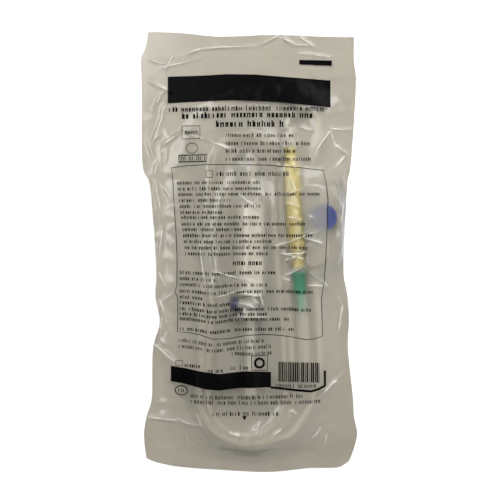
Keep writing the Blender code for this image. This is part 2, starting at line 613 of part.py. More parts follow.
def make_spike():
    """The spike with its rim, guard, point, two channels and air vent."""
    spigot = CHAMBER_FOOT + SPIGOT_DEPTH
    seat_bore = DRIP_TUBE_RADIUS + GAP
    spike = turned("spike", [(0, spigot), (SPIGOT_RADIUS, spigot), (SPIGOT_RADIUS, SPIKE_RIM_TOP),
                             (CHAMBER_RADIUS, SPIKE_RIM_TOP), (CHAMBER_RADIUS, SPIKE_RIM_FOOT),
                             (NECK_RADIUS, SPIKE_RIM_FOOT), (NECK_RADIUS, SHAFT_TOP),
                             (SHAFT_RADIUS, SHAFT_TOP), (SHAFT_TIP_RADIUS, SHAFT_FOOT),
                             (SHAFT_TIP_RADIUS / 4, SPIKE_POINT), (0, SPIKE_POINT)],
                   DRIP_LINE, PALE, steps=24)
    angles = np.linspace(0, 2 * math.pi, 24, endpoint=False)
    guard = plate("spike_guard", [[(GUARD_HALF_WIDTH * math.cos(angle),
                                    GUARD_HALF_HEIGHT * math.sin(angle)) for angle in angles]],
                  GUARD_THICKNESS, DRIP_LINE, None, CUTTERS)
    guard.location = (0, 0, SHAFT_TOP + GUARD_THICKNESS / 2)
    port = rod("vent_port", VENT_RADIUS, VENT_REACH, (-VENT_REACH / 2, 0, VENT_Y),
               (0, math.pi / 2, 0), DRIP_LINE)
    boolean(spike, guard, "UNION")
    boolean(spike, port, "UNION")
    recess = rod("vent_recess", VENT_RADIUS - VENT_LIP, VENT_RECESS * 2,
                 (-VENT_REACH, 0, VENT_Y), (0, math.pi / 2, 0), DRIP_LINE)
    air_x = -(FLUID_BORE + AIR_BORE)
    air_way = rod("air_way", AIR_BORE, VENT_REACH, (air_x - VENT_REACH / 2, 0, VENT_Y),
                  (0, math.pi / 2, 0), DRIP_LINE, steps=8)
    air_length = VENT_Y - SPIKE_POINT + 2 * AIR_BORE
    air_shaft = rod("air_channel", AIR_BORE, air_length,
                    (air_x, 0, VENT_Y + AIR_BORE - air_length / 2), (0, 0, 0), DRIP_LINE, steps=8)
    fluid_length = spigot - SPIKE_POINT + 2 * FLUID_BORE
    fluid = rod("fluid_channel", FLUID_BORE, fluid_length,
                (FLUID_BORE, 0, (spigot + SPIKE_POINT) / 2), (0, 0, 0), DRIP_LINE, steps=10)
    seat = rod("drip_tube_seat", seat_bore, DRIP_TUBE_SEAT * 2, (0, 0, spigot), (0, 0, 0),
               DRIP_LINE, steps=16)
    for tool in (recess, air_way, air_shaft, fluid, seat):
        boolean(spike, tool, "DIFFERENCE")
    disc_radius = VENT_RADIUS - VENT_LIP - GAP
    disc_face = VENT_REACH - VENT_RECESS + GAP
    disc = turned("vent_filter", [(0, disc_face + VENT_DISC_THICKNESS),
                                  (disc_radius, disc_face + VENT_DISC_THICKNESS),
                                  (disc_radius, disc_face), (0, disc_face)], DRIP_LINE, PALE, steps=20)
    cap_bore = VENT_RADIUS + GAP
    cap_radius = cap_bore + VENT_CAP_WALL
    cap_top = VENT_REACH + GAP + VENT_CAP_TOP
    cap_mouth = cap_top - VENT_CAP_DEPTH
    cap = turned("vent_cap", [(0, cap_top), (cap_radius - VENT_CAP_WALL, cap_top),
                              (cap_radius, cap_top - VENT_CAP_WALL), (cap_radius, cap_mouth),
                              (cap_bore, cap_mouth), (cap_bore, cap_top - VENT_CAP_TOP),
                              (0, cap_top - VENT_CAP_TOP)], DRIP_LINE, VIOLET, steps=24)
    for piece in (disc, cap):
        piece.location = (0, 0, VENT_Y)
        piece.rotation_euler = (0, -math.pi / 2, 0)


def make_spike_cap():
    """The cap over the spike, a closed tapered tube with grip ribs round its mouth."""
    mouth = SHAFT_TOP - GAP
    tip = SPIKE_POINT - GAP - CAP_WALL - 2 * GAP
    cap = turned("spike_cap", [(0, tip + CAP_WALL), (CAP_TIP_RADIUS - CAP_WALL, tip + CAP_WALL),
                               (CAP_MOUTH_RADIUS - CAP_WALL, mouth), (CAP_MOUTH_RADIUS, mouth),
                               (CAP_TIP_RADIUS, tip + CAP_WALL), (CAP_TIP_RADIUS - CAP_WALL, tip),
                               (0, tip)], DRIP_LINE, CLEAR, steps=24)
    for index in range(CAP_RIBS // 2):
        angle = math.pi * index / (CAP_RIBS // 2)
        reach = 2 * (CAP_MOUTH_RADIUS + CAP_RIB_HEIGHT)
        rib = block(f"cap_rib_{index}", (reach, CAP_RIB_WIDTH, CAP_RIB_LENGTH),
                    (0, 0, mouth - CAP_RIB_LENGTH), (0, 0, angle), DRIP_LINE)
        boolean(cap, rib, "UNION")
    hollow = turned("cap_hollow", [(0, mouth + CAP_WALL), (CAP_MOUTH_RADIUS - CAP_WALL, mouth + CAP_WALL),
                                   (CAP_MOUTH_RADIUS - CAP_WALL, mouth),
                                   (CAP_TIP_RADIUS - CAP_WALL, tip + CAP_WALL), (0, tip + CAP_WALL)],
                    DRIP_LINE, None, steps=24, collection=CUTTERS)
    boolean(cap, hollow, "DIFFERENCE")


# Needle line

BULB_FOOT = -BULB_BODY - BULB_BOTTOM_NECK
BULB_HEAD = BULB_TOP_NECK
LUER_SHOULDER = BULB_FOOT - GAP
HUB_TOP = LUER_SHOULDER - COLLAR_LENGTH - GAP
HUB_NOSE = HUB_TOP - HUB_LENGTH
SHEATH_MOUTH = HUB_NOSE + SHEATH_OVERLAP
SHEATH_TIP = HUB_NOSE - CANNULA_LENGTH - SHEATH_TIP_ROOM - SHEATH_WALL


def make_bulb():
    """The latex bulb, necked at both ends, with the connectors pushed into its necks."""
    bore = BULB_NECK_RADIUS - BULB_WALL
    shoulder = BULB_SHOULDER
    outer = [(BULB_NECK_RADIUS, BULB_HEAD), (BULB_NECK_RADIUS, shoulder / 2)]
    for share in (0.25, 0.5, 0.75):
        bulge = math.sin(share * math.pi / 2)
        outer.append((BULB_NECK_RADIUS + (BULB_RADIUS - BULB_NECK_RADIUS) * bulge,
                      shoulder / 2 - shoulder * share))
    outer.append((BULB_RADIUS, -shoulder / 2))
    lower = [(radius, -BULB_BODY - height) for radius, height in reversed(outer)]
    outer += lower[:-1] + [(BULB_NECK_RADIUS, BULB_FOOT)]
    inner = [(max(bore, radius - BULB_WALL), height) for radius, height in reversed(outer)]
    turned("latex_bulb", outer + inner, NEEDLE_LINE, LATEX, steps=24)
    plug = bore - GAP
    collar_foot = BULB_HEAD + GAP
    collar = collar_foot + COLLAR_LENGTH
    mouth = collar + INLET_SOCKET_LENGTH
    seat = mouth - SOCKET_DEPTH
    turned("bulb_inlet_connector",
           [(SOCKET_BORE + BULB_WALL, mouth), (SOCKET_BORE + BULB_WALL, collar),
            (COLLAR_RADIUS, collar), (COLLAR_RADIUS, collar_foot), (plug, collar_foot),
            (plug, collar_foot - PLUG_DEPTH), (FLOW_BORE, collar_foot - PLUG_DEPTH),
            (FLOW_BORE, seat), (SOCKET_BORE, seat), (SOCKET_BORE, mouth)],
           NEEDLE_LINE, CLEAR, steps=20)
    collar = LUER_SHOULDER - COLLAR_LENGTH
    turned("luer_connector",
           [(plug, LUER_SHOULDER + PLUG_DEPTH), (plug, LUER_SHOULDER),
            (COLLAR_RADIUS, LUER_SHOULDER), (COLLAR_RADIUS, collar), (LUER_LARGE_RADIUS, collar),
            (LUER_SMALL_RADIUS, collar - LUER_LENGTH), (FLOW_BORE, collar - LUER_LENGTH),
            (FLOW_BORE, LUER_SHOULDER + PLUG_DEPTH)],
           NEEDLE_LINE, CLEAR, steps=20)
    return seat


def make_needle():
    """The ribbed needle hub, the steel cannula in its nose, and the clear sheath."""
    cavity = HUB_TOP - HUB_CAVITY
    taper = HUB_TOP - HUB_FLANGE_LENGTH
    seat = HUB_NOSE + CANNULA_SEAT
    hub = turned("needle_hub",
                 [(HUB_FLANGE_RADIUS, HUB_TOP), (HUB_FLANGE_RADIUS, taper), (HUB_BODY_RADIUS, taper),
                  (HUB_BODY_RADIUS, cavity), (HUB_NOSE_RADIUS, HUB_NOSE),
                  (CANNULA_RADIUS + GAP, HUB_NOSE), (CANNULA_RADIUS + GAP, cavity),
                  (LUER_SMALL_RADIUS + GAP, cavity), (LUER_LARGE_RADIUS + GAP, HUB_TOP)],
                 NEEDLE_LINE, GREEN, steps=20)
    for index in range(HUB_RIBS // 2):
        angle = math.pi * index / (HUB_RIBS // 2)
        height = taper - cavity
        rib = block(f"hub_rib_{index}", (2 * HUB_BODY_RADIUS + HUB_RIB_WIDTH, HUB_RIB_WIDTH, height),
                    (0, 0, cavity + height / 2), (0, 0, angle), NEEDLE_LINE)
        boolean(hub, rib, "UNION")
    hollow = turned("hub_hollow", [(0, HUB_TOP + GAP), (LUER_LARGE_RADIUS + GAP, HUB_TOP + GAP),
                                   (LUER_LARGE_RADIUS + GAP, HUB_TOP),
                                   (LUER_SMALL_RADIUS + GAP, cavity), (0, cavity)],
                    NEEDLE_LINE, None, steps=20, collection=CUTTERS)
    boolean(hub, hollow, "DIFFERENCE")
    tip = seat - CANNULA_SEAT - CANNULA_LENGTH
    turned("needle_cannula", tube_profile(CANNULA_RADIUS, CANNULA_RADIUS / 2, tip, seat),
           NEEDLE_LINE, STEEL, steps=10)
    floor = SHEATH_TIP + SHEATH_WALL
    turned("needle_sheath",
           [(0, floor), (SHEATH_TIP_RADIUS - SHEATH_WALL, floor), (SHEATH_BORE, SHEATH_MOUTH),
            (SHEATH_BORE + SHEATH_WALL, SHEATH_MOUTH), (SHEATH_TIP_RADIUS, floor),
            (SHEATH_TIP_RADIUS - SHEATH_WALL, SHEATH_TIP), (0, SHEATH_TIP)],
           NEEDLE_LINE, CLEAR, steps=24)


# Roller clamp

def ramp(along):
    """Place of the channel's floor, which rises towards the closed end."""
    share = (TRAVEL_UP - along) / (TRAVEL_UP + TRAVEL_DOWN)
    return -CLAMP_DEPTH + CLAMP_BACK + RAMP_RISE * min(max(share, 0), 1)


def run_section(along):
    """Middle and half thickness of the tube along the clamp, pinched under the wheel's path."""
    floor = ramp(along) + GAP
    pinched = -WHEEL_RADIUS - GAP - floor
    upper = (along - TRAVEL_UP) / TUBE_DIAMETER / 2
    lower = (-TRAVEL_DOWN - TUBE_RADIUS / 2 - along) / TUBE_DIAMETER / 2
    share = min(max(upper, lower, 0), 1)
    share = share * share * (3 - 2 * share)
    thickness = pinched + (TUBE_DIAMETER - pinched) * share
    return floor + thickness / 2, thickness / 2


def make_clamp():
    """The channel-shaped body with its ramp, pin tracks, end holes and grip grooves."""
    top, foot = CLAMP_ABOVE_WHEEL, -CLAMP_BELOW_WHEEL
    slope = CLAMP_EDGE + TUBE_DIAMETER
    body = plate("clamp_body", [[(-CLAMP_DEPTH, foot), (CLAMP_EDGE - slope, foot),
                                 (CLAMP_EDGE, foot + slope), (CLAMP_EDGE, top - slope / 2),
                                 (CLAMP_EDGE - slope, top), (-CLAMP_DEPTH, top)]],
                 CLAMP_WIDTH, CLAMP_FRAME, MILKY)
    inside = CLAMP_WIDTH - 2 * CLAMP_WALL
    out = CLAMP_EDGE + CLAMP_DEPTH
    channel = plate("channel", [[(ramp(foot), foot + CLAMP_END_WALL), (out, foot + CLAMP_END_WALL),
                                 (out, top - CLAMP_END_WALL), (ramp(top), top - CLAMP_END_WALL),
                                 (ramp(TRAVEL_UP), TRAVEL_UP), (ramp(-TRAVEL_DOWN), -TRAVEL_DOWN)]],
                    inside, CLAMP_FRAME, None, CUTTERS)
    boolean(body, channel, "DIFFERENCE")
    track = []
    for centre, first in ((TRAVEL_UP, 0), (-TRAVEL_DOWN, math.pi)):
        for angle in np.linspace(first, first + math.pi, 9):
            track.append((SLOT_HALF_WIDTH * math.cos(angle), centre + SLOT_HALF_WIDTH * math.sin(angle)))
    pins = WHEEL_WIDTH + 2 * (WHEEL_SIDE_GAP + PIN_REACH + PIN_CLEARANCE)
    boolean(body, plate("pin_track", [track], pins, CLAMP_FRAME, None, CUTTERS), "DIFFERENCE")
    for name, end, along in (("head", top, top), ("foot", foot, foot)):
        middle = run_section(along)[0]
        hole = rod(f"tube_hole_{name}", SOCKET_BORE, CLAMP_END_WALL * 3, (middle, end, 0),
                   (math.pi / 2, 0, 0), CLAMP_FRAME, steps=16)
        boolean(body, hole, "DIFFERENCE")
    for index in range(GRIP_GROOVES):
        along = foot + slope / 2 + index * GRIP_PITCH
        for side in (-1, 1):
            groove = block(f"grip_{index}_{side}", (CLAMP_DEPTH / 2, GRIP_PITCH / 2, 2 * GRIP_DEPTH),
                           (-CLAMP_DEPTH / 2, along, side * CLAMP_WIDTH / 2), (0, 0, 0), CLAMP_FRAME)
            boolean(body, groove, "DIFFERENCE")


def make_wheel():
    """The knurled wheel with its two pins, its origin on its own axis."""
    rim = []
    for tooth in range(WHEEL_TEETH):
        for share, radius in ((0.0, WHEEL_RADIUS), (0.35, WHEEL_RADIUS),
                              (0.5, WHEEL_RADIUS - WHEEL_TOOTH), (0.85, WHEEL_RADIUS - WHEEL_TOOTH)):
            angle = 2 * math.pi * (tooth + share) / WHEEL_TEETH
            rim.append((radius * math.cos(angle), radius * math.sin(angle)))
    wheel = plate("clamp_roller", [rim], WHEEL_WIDTH, CLAMP_FRAME, BLUE)
    pins = rod("wheel_pins", PIN_RADIUS, WHEEL_WIDTH + 2 * (WHEEL_SIDE_GAP + PIN_REACH),
               (0, 0, 0), (0, 0, 0), CLAMP_FRAME, steps=16)
    for side in (-1, 1):
        dish = turned(f"wheel_dish_{side}", tube_profile(WHEEL_RADIUS * 0.78, PIN_RADIUS * 2,
                                                         -GRIP_DEPTH, GRIP_DEPTH),
                      CLAMP_FRAME, None, steps=24, collection=CUTTERS)
        dish.location = (0, 0, side * WHEEL_WIDTH / 2)
        boolean(wheel, dish, "DIFFERENCE")
    boolean(wheel, pins, "UNION")


def make_clamp_run():
    """The stretch of tubing in the clamp, a loft from round through flat to round."""
    sides = 12
    ends = (CLAMP_ABOVE_WHEEL + CLAMP_END_WALL, -CLAMP_BELOW_WHEEL - CLAMP_END_WALL)
    mesh = bpy.data.meshes.new("tubing_clamp_run")
    loft = bmesh.new()
    rings = []
    for along in np.linspace(ends[0], ends[1], 25):
        middle, half = run_section(along)
        width = math.sqrt(2 * TUBE_RADIUS ** 2 - half ** 2)
        ring = []
        for side in range(sides):
            angle = 2 * math.pi * side / sides
            ring.append(loft.verts.new((middle + half * math.cos(angle), along,
                                        width * math.sin(angle))))
        rings.append(ring)
    for first, second in zip(rings, rings[1:]):
        for side in range(sides):
            after = (side + 1) % sides
            loft.faces.new((first[side], first[after], second[after], second[side]))
    loft.faces.new(rings[0])
    loft.faces.new(rings[-1])
    bmesh.ops.recalc_face_normals(loft, faces=loft.faces)
    loft.to_mesh(mesh)
    loft.free()
    add_object("tubing_clamp_run", mesh, CLAMP_FRAME, VINYL)
    head = clamp_point(run_section(ends[0])[0], ends[0] + GAP)
    foot = clamp_point(run_section(ends[1])[0], ends[1] - GAP)
    return head, foot


# Tubing

def make_tubing(inlet_seat, run_head, run_foot):
    """The coil and the free stretches that join it to the chamber, the clamp and the bulb."""
    coil = plate("tubing_coil", [oval(0), oval(COIL_HEIGHT)], COIL_HEIGHT, None, VINYL)
    coil.location = (0, 0, FLOOR + COIL_HEIGHT / 2)
    socket = (DRIP_X, OUTLET_FACE - SOCKET_DEPTH + GAP, DRIP_Z)
    mouth = (DRIP_X, OUTLET_FACE + TUBE_DIAMETER, DRIP_Z)
    lead = tube("tubing_lead", [socket, mouth] + LEAD_ROUTE)
    step = 2 * TUBE_DIAMETER
    below = clamp_point(run_section(-CLAMP_BELOW_WHEEL)[0], -CLAMP_BELOW_WHEEL - step)
    tail = tube("tubing_tail", TAIL_ROUTE + [below, run_foot])
    above = clamp_point(run_section(CLAMP_ABOVE_WHEEL)[0], CLAMP_ABOVE_WHEEL + step)
    inlet = needle_point(inlet_seat + GAP)
    before = needle_point(inlet_seat + SOCKET_DEPTH + TUBE_DIAMETER)
    loop = tube("tubing_loop", [run_head, above] + LOOP_ROUTE + [before, inlet])
    return [lead, tail, loop]


def main():
    """Build every piece of the set."""
    make_chamber()
    make_spike()
    make_spike_cap()
    inlet_seat = make_bulb()
    make_needle()
    make_clamp()
    make_wheel()
    run_head, run_foot = make_clamp_run()
    routes = make_tubing(inlet_seat, run_head, run_foot)
    make_pouch(routes)


main()
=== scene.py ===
"""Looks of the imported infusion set: hazy film pouch with black print, coiled tubing and parts.

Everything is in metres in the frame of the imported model: +Z up out of the printed front, +Y
along the pouch towards its top seal. The camera looks straight down. Photograph places are
pixels across and down from the photograph's upper left corner.
"""

import json
import logging
import math
from dataclasses import dataclass, field
from enum import Enum, IntEnum
from typing import NamedTuple

import bpy
import numpy as np
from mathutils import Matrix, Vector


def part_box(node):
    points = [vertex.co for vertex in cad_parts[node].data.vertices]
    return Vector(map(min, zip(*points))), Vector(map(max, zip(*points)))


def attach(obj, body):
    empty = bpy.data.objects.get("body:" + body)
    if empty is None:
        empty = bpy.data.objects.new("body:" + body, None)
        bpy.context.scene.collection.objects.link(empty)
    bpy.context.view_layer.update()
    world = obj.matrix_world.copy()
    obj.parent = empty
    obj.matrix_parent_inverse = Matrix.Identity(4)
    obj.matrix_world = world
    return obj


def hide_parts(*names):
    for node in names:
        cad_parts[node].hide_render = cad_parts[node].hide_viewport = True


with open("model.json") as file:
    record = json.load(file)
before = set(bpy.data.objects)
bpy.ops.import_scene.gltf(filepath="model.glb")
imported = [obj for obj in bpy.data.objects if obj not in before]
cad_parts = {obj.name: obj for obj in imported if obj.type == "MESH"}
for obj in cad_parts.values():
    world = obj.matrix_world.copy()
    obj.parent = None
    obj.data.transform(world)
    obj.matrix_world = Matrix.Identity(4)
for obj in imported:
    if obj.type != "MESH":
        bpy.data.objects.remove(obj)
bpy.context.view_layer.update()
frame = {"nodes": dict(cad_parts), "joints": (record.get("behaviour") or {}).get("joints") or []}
LOG = logging.getLogger("infusion_set")

MM = 0.001
# The photograph: its side in pixels, the real size of one of them, and where its origin falls
PHOTO_SIDE = 500
PIXEL = 0.583 * MM
PHOTO_CENTRE = (249.0, 252.0)

# Sizes repeated from the model
POUCH_WIDTH = 0.126
POUCH_LENGTH = 0.2564
FILM_THICKNESS = 0.00015
GAP = 0.0003
FLOOR = FILM_THICKNESS + GAP
TOP_SEAL = 0.0145
BOTTOM_SEAL = 0.0100
TUBE_DIAMETER = 0.0041
TUBE_RADIUS = TUBE_DIAMETER / 2
# The pouch's outline: shares of its length, and how far each side is pulled in there
SIDE_STATIONS = (0.0, 0.065, 0.12, 0.17, 0.28, 0.34, 0.40, 0.47, 0.65, 0.70, 0.88, 0.94, 0.965, 1.0)
LEFT_PULL = (0.0032, 0.0018, 0.0035, 0.0064, 0.0070, 0.0110, 0.0084, 0.0088, 0.0052, 0.0009, 0.0005,
             0.0, 0.0028, 0.0041)
RIGHT_PULL = (0.0042, 0.0, 0.0018, 0.0024, 0.0053, 0.0047, 0.0055, 0.0080, 0.0058, 0.0036, 0.0006,
              0.0018, 0.0018, 0.0018)
# Shares of its width, and how far the foot rises and the head dips there
END_STATIONS = (0.0, 0.06, 0.17, 0.35, 0.60, 0.80, 0.94, 1.0)
FOOT_DIP = (0.0080, 0.0054, 0.0029, 0.0013, 0.0, 0.0022, 0.0026, 0.0068)
HEAD_DIP = (0.0, 0.0, 0.0006, 0.0026, 0.0016, 0.0024, 0.0029, 0.0029)
# The ends' shape fades out over the length divided by this
END_FADE = 6
EDGE_SPACING = 0.002


class Slot(Enum):
    """Names of material slots of the record."""

    FILM = "film"
    SOFT_VINYL = "soft_vinyl"


def photo_to_model(pixels: np.ndarray) -> np.ndarray:
    """Photograph places as X and Y in the model.

    Args:
        pixels: array of (across, down) places.

    Returns:
        Array of (X, Y) in metres: the offset from the origin's pixel times the pixel size.
    """
    places = np.atleast_2d(np.asarray(pixels, dtype=float))
    return np.column_stack([(places[:, 0] - PHOTO_CENTRE[0]) * PIXEL,
                            (PHOTO_CENTRE[1] - places[:, 1]) * PIXEL])


# Nodes of materials

def linear(hex_colour: str) -> tuple[float, float, float, float]:
    """An sRGB colour as a linear one.

    Args:
        hex_colour: the colour as #RRGGBB.

    Returns:
        Linear red, green, blue and an alpha of 1.
    """
    values = np.array([int(hex_colour[i:i + 2], 16) for i in (1, 3, 5)]) / 255
    straight = np.where(values <= 0.04045, values / 12.92, ((values + 0.055) / 1.055) ** 2.4)
    return (*straight.tolist(), 1.0)


def add_node(tree: bpy.types.NodeTree, kind: str, inputs: dict | None = None,
             **settings: object) -> bpy.types.Node:
    """Add a node with its settings, values and links.

    Args:
        tree: the material's node tree.
        kind: the node's type name.
        inputs: input names with values, or with the output sockets that feed them.
        **settings: the node's own properties.

    Returns:
        The new node.
    """
    node = tree.nodes.new(kind)
    for name, value in settings.items():
        setattr(node, name, value)
    for name, value in (inputs or {}).items():
        if isinstance(value, bpy.types.NodeSocket):
            tree.links.new(value, node.inputs[name])
        else:
            node.inputs[name].default_value = value
    return node


def new_tree(name: str) -> tuple[bpy.types.Material, bpy.types.NodeTree]:
    """Make a node material.

    Args:
        name: the material's name.

    Returns:
        The material, and its tree with the usual shader and output.
    """
    material = bpy.data.materials.new(name)
    material.use_nodes = True
    return material, material.node_tree


# Meshes

def grid_faces(rows: int, columns: int, close_columns: bool = False) -> np.ndarray:
    """Corner numbers of the quads of a grid of points.

    Args:
        rows: points along the first direction.
        columns: points along the second direction.
        close_columns: whether the last column joins the first.

    Returns:
        Array of four corner numbers for each quad, a row's number times the columns plus the
        column's number.
    """
    row, column = np.meshgrid(np.arange(rows - 1), np.arange(columns if close_columns else columns - 1),
                              indexing="ij")
    next_row, next_column = row + 1, (column + 1) % columns
    return np.stack([row * columns + column, row * columns + next_column,
                     next_row * columns + next_column, next_row * columns + column],
                    axis=-1).reshape(-1, 4)


def grid_shares(rows: int, columns: int) -> tuple[np.ndarray, np.ndarray]:
    """Shares from 0 to 1 along and across a grid.

    Args:
        rows: cells along.
        columns: cells across.

    Returns:
        Two arrays of a point for every cell corner: its share along, and its share across.
    """
    along, across = np.meshgrid(np.linspace(0, 1, rows + 1), np.linspace(0, 1, columns + 1),
                                indexing="ij")
    return along, across


def make_mesh(name: str, points: np.ndarray, faces: list | np.ndarray) -> bpy.types.Mesh:
    """A smooth-shaded mesh.

    Args:
        name: the mesh's name.
        points: array of places, one a row.
        faces: corner numbers of each face.

    Returns:
        The new mesh.
    """
    mesh = bpy.data.meshes.new(name)
    mesh.from_pydata(points.tolist(), [], [list(face) for face in faces])
    mesh.update()
    mesh.polygons.foreach_set("use_smooth", np.full(len(mesh.polygons), True))
    return mesh


def link_object(name: str, mesh: bpy.types.Mesh, body: str,
                material: bpy.types.Material) -> bpy.types.Object:
    """Put a finished mesh into the scene as a piece.

    Args:
        name: the piece's name.
        mesh: its mesh, already in place.
        body: the body that it rides on.
        material: its finish.

    Returns:
        The piece.
    """
    piece = bpy.data.objects.new(name, mesh)
    bpy.context.scene.collection.objects.link(piece)
    mesh.materials.append(material)
    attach(piece, body)
    return piece


# Curves and tables

def cubic(before: np.ndarray, start: np.ndarray, end: np.ndarray, after: np.ndarray,
          share: np.ndarray) -> np.ndarray:
    """Values between a start and an end on a smooth curve.

    The curve is a cubic whose slope at a point is half the way between the point's neighbours
    (Catmull-Rom).

    Args:
        before: the value before the start.
        start: the value at share 0.
        end: the value at share 1.
        after: the value after the end.
        share: how far from the start to the end.

    Returns:
        Array of values at the shares.
    """
    return 0.5 * (2 * start + (end - before) * share
                  + (2 * before - 5 * start + 4 * end - after) * share ** 2
                  + (3 * start - before - 3 * end + after) * share ** 3)


def padded_ends(table: np.ndarray) -> np.ndarray:
    """A table with one more row at each end, as far from the last one as that from its own."""
    return np.vstack([2 * table[0] - table[1], table, 2 * table[-1] - table[-2]])


def smooth_route(points: np.ndarray, spacing: float) -> np.ndarray:
    """Evenly spaced points on a smooth curve through route points.

    Each stretch is a cubic that is read at 24 shares and then walked at an even spacing.

    Args:
        points: route points, one a row, in three dimensions.
        spacing: wanted distance between the points.

    Returns:
        Array of points, one a row.
    """
    route = np.asarray(points, dtype=float)
    padded = padded_ends(route)
    share = np.linspace(0, 1, 24, endpoint=False)[:, None]
    stretches = [cubic(*knots, share) for knots in zip(padded, padded[1:], padded[2:], padded[3:])]
    dense = np.vstack(stretches + [route[-1:]])
    reach = np.concatenate([[0], np.cumsum(np.linalg.norm(np.diff(dense, axis=0), axis=1))])
    wanted = np.linspace(0, reach[-1], max(2, int(round(reach[-1] / spacing)) + 1))
    return np.column_stack([np.interp(wanted, reach, dense[:, axis]) for axis in range(3)])


def sample(table: np.ndarray, rows: np.ndarray, columns: np.ndarray) -> np.ndarray:
    """Values of a table between its cells, straight between the four round each place.

    Args:
        table: the values.
        rows: fractional row of each place.
        columns: fractional column of each place.

    Returns:
        Array of a value for each place.
    """
    rows = np.clip(rows, 0, table.shape[0] - 1.001)
    columns = np.clip(columns, 0, table.shape[1] - 1.001)
    row, column = rows.astype(int), columns.astype(int)
    down, right = rows - row, columns - column
    return ((table[row, column] * (1 - right) + table[row, column + 1] * right) * (1 - down)
            + (table[row + 1, column] * (1 - right) + table[row + 1, column + 1] * right) * down)


def bilinear(table: np.ndarray, rows: np.ndarray, columns: np.ndarray) -> np.ndarray:
    """A table read straight between its cells at every crossing of rows and columns.

    Args:
        table: the values.
        rows: fractional rows.
        columns: fractional columns.

    Returns:
        Table with a row for each row and a column for each column.
    """
    row, column = np.meshgrid(rows, columns, indexing="ij")
    return sample(table, row, column)


def bicubic(table: np.ndarray, rows: np.ndarray, columns: np.ndarray) -> np.ndarray:
    """A table read smoothly between its cells, by a cubic along the rows and then the columns.

    Args:
        table: the values.
        rows: fractional rows.
        columns: fractional columns.

    Returns:
        Table with a row for each row and a column for each column.
    """
    for wanted in (rows, columns):
        padded = padded_ends(table)
        base = np.clip(wanted.astype(int), 0, table.shape[0] - 2)
        table = cubic(*(padded[base + shift] for shift in range(4)), (wanted - base)[:, None]).T
    return table


def widen(table: np.ndarray, reach: int) -> np.ndarray:
    """A table whose cells take the highest value near them.

    Args:
        table: the values.
        reach: how many cells away still count, along both sides.

    Returns:
        Table of the same size.
    """
    for axis in (0, 1):
        widest = table.copy()
        for shift in range(1, reach + 1):
            widest = np.maximum(widest, np.roll(table, shift, axis))
            widest = np.maximum(widest, np.roll(table, -shift, axis))
        table = widest
    return table


def blurred(table: np.ndarray, rounds: int) -> np.ndarray:
    """A table whose cells take the mean of themselves and their four neighbours, over and over.

    Args:
        table: the values.
        rounds: how often.

    Returns:
        Table of the same size.
    """
    for _ in range(rounds):
        table = (table + np.roll(table, 1, 0) + np.roll(table, -1, 0)
                 + np.roll(table, 1, 1) + np.roll(table, -1, 1)) / 5
    return table


def neighbour_mean(table: np.ndarray) -> np.ndarray:
    """Mean of the four neighbours of each inner cell."""
    return (table[:-2, 1:-1] + table[2:, 1:-1] + table[1:-1, :-2] + table[1:-1, 2:]) / 4


def table_size(step: float) -> tuple[int, int]:
    """Rows and columns of a square table over the pouch whose cells are a step apart."""
    return int(POUCH_LENGTH / step) + 3, int(POUCH_WIDTH / step) + 3


def table_places(x: np.ndarray, y: np.ndarray, step: float) -> tuple[np.ndarray, np.ndarray]:
    """Fractional rows and columns of places on a square table over the pouch."""
    return (y + POUCH_LENGTH / 2) / step, (x + POUCH_WIDTH / 2) / step


def whole_cells(rows: np.ndarray, columns: np.ndarray, size: tuple[int, int]
                ) -> tuple[np.ndarray, np.ndarray]:
    """Rows and columns cut to whole numbers and kept inside a table of a size."""
    return rows.astype(int).clip(0, size[0] - 1), columns.astype(int).clip(0, size[1] - 1)


def pair_views(array: np.ndarray, step_row: int, step_column: int) -> tuple[np.ndarray, np.ndarray]:
    """Every grid point that has a neighbour some way off, and that neighbour.

    Args:
        array: values of a grid of points.
        step_row: rows from a point to its neighbour.
        step_column: columns from a point to its neighbour, below 0 to the left.

    Returns:
        Two views of the array, so that what is written to them changes it.
    """
    rows, columns = array.shape[:2]
    if step_column >= 0:
        return array[:rows - step_row, :columns - step_column], array[step_row:, step_column:]
    return array[:rows - step_row, -step_column:], array[step_row:, :columns + step_column]


def parity_slice(step_row: int, step_column: int, parity: int) -> tuple[slice, slice]:
    """Pick every other run of pairs, so that no point is in two pairs at once.

    Args:
        step_row: rows from a point to its neighbour.
        step_column: columns from a point to its neighbour.
        parity: which of the runs.

    Returns:
        Slices for the rows and the columns.
    """
    if step_row:
        return slice(parity, None, 2 * step_row), slice(None)
    return slice(None), slice(parity, None, 2 * step_column)


# The model's pieces

def slide_joint() -> dict:
    """The joint on which the clamp's wheel slides."""
    return next(joint for joint in frame["joints"] if joint["name"] == "roller_slide")


def slide_axis() -> np.ndarray:
    """Direction in which the clamp's wheel slides."""
    return np.array(slide_joint()["axis"], dtype=float)


def node_triangles(name: str) -> np.ndarray:
    """Triangles of a model node at rest.

    Args:
        name: the node's name.

    Returns:
        Array of triangles by three corners by three coordinates.
    """
    mesh = frame["nodes"][name].data
    points = np.empty(len(mesh.vertices) * 3)
    mesh.vertices.foreach_get("co", points)
    mesh.calc_loop_triangles()
    corners = np.empty(len(mesh.loop_triangles) * 3, dtype=np.int32)
    mesh.loop_triangles.foreach_get("vertices", corners)
    return points.reshape(-1, 3)[corners].reshape(-1, 3, 3)


# Triangles are cut into one of these numbers of strips, and this many points at most at a time
STRIP_COUNTS = (2, 4, 8, 16, 32, 64, 128, 400)
MOST_POINTS = 2_000_000


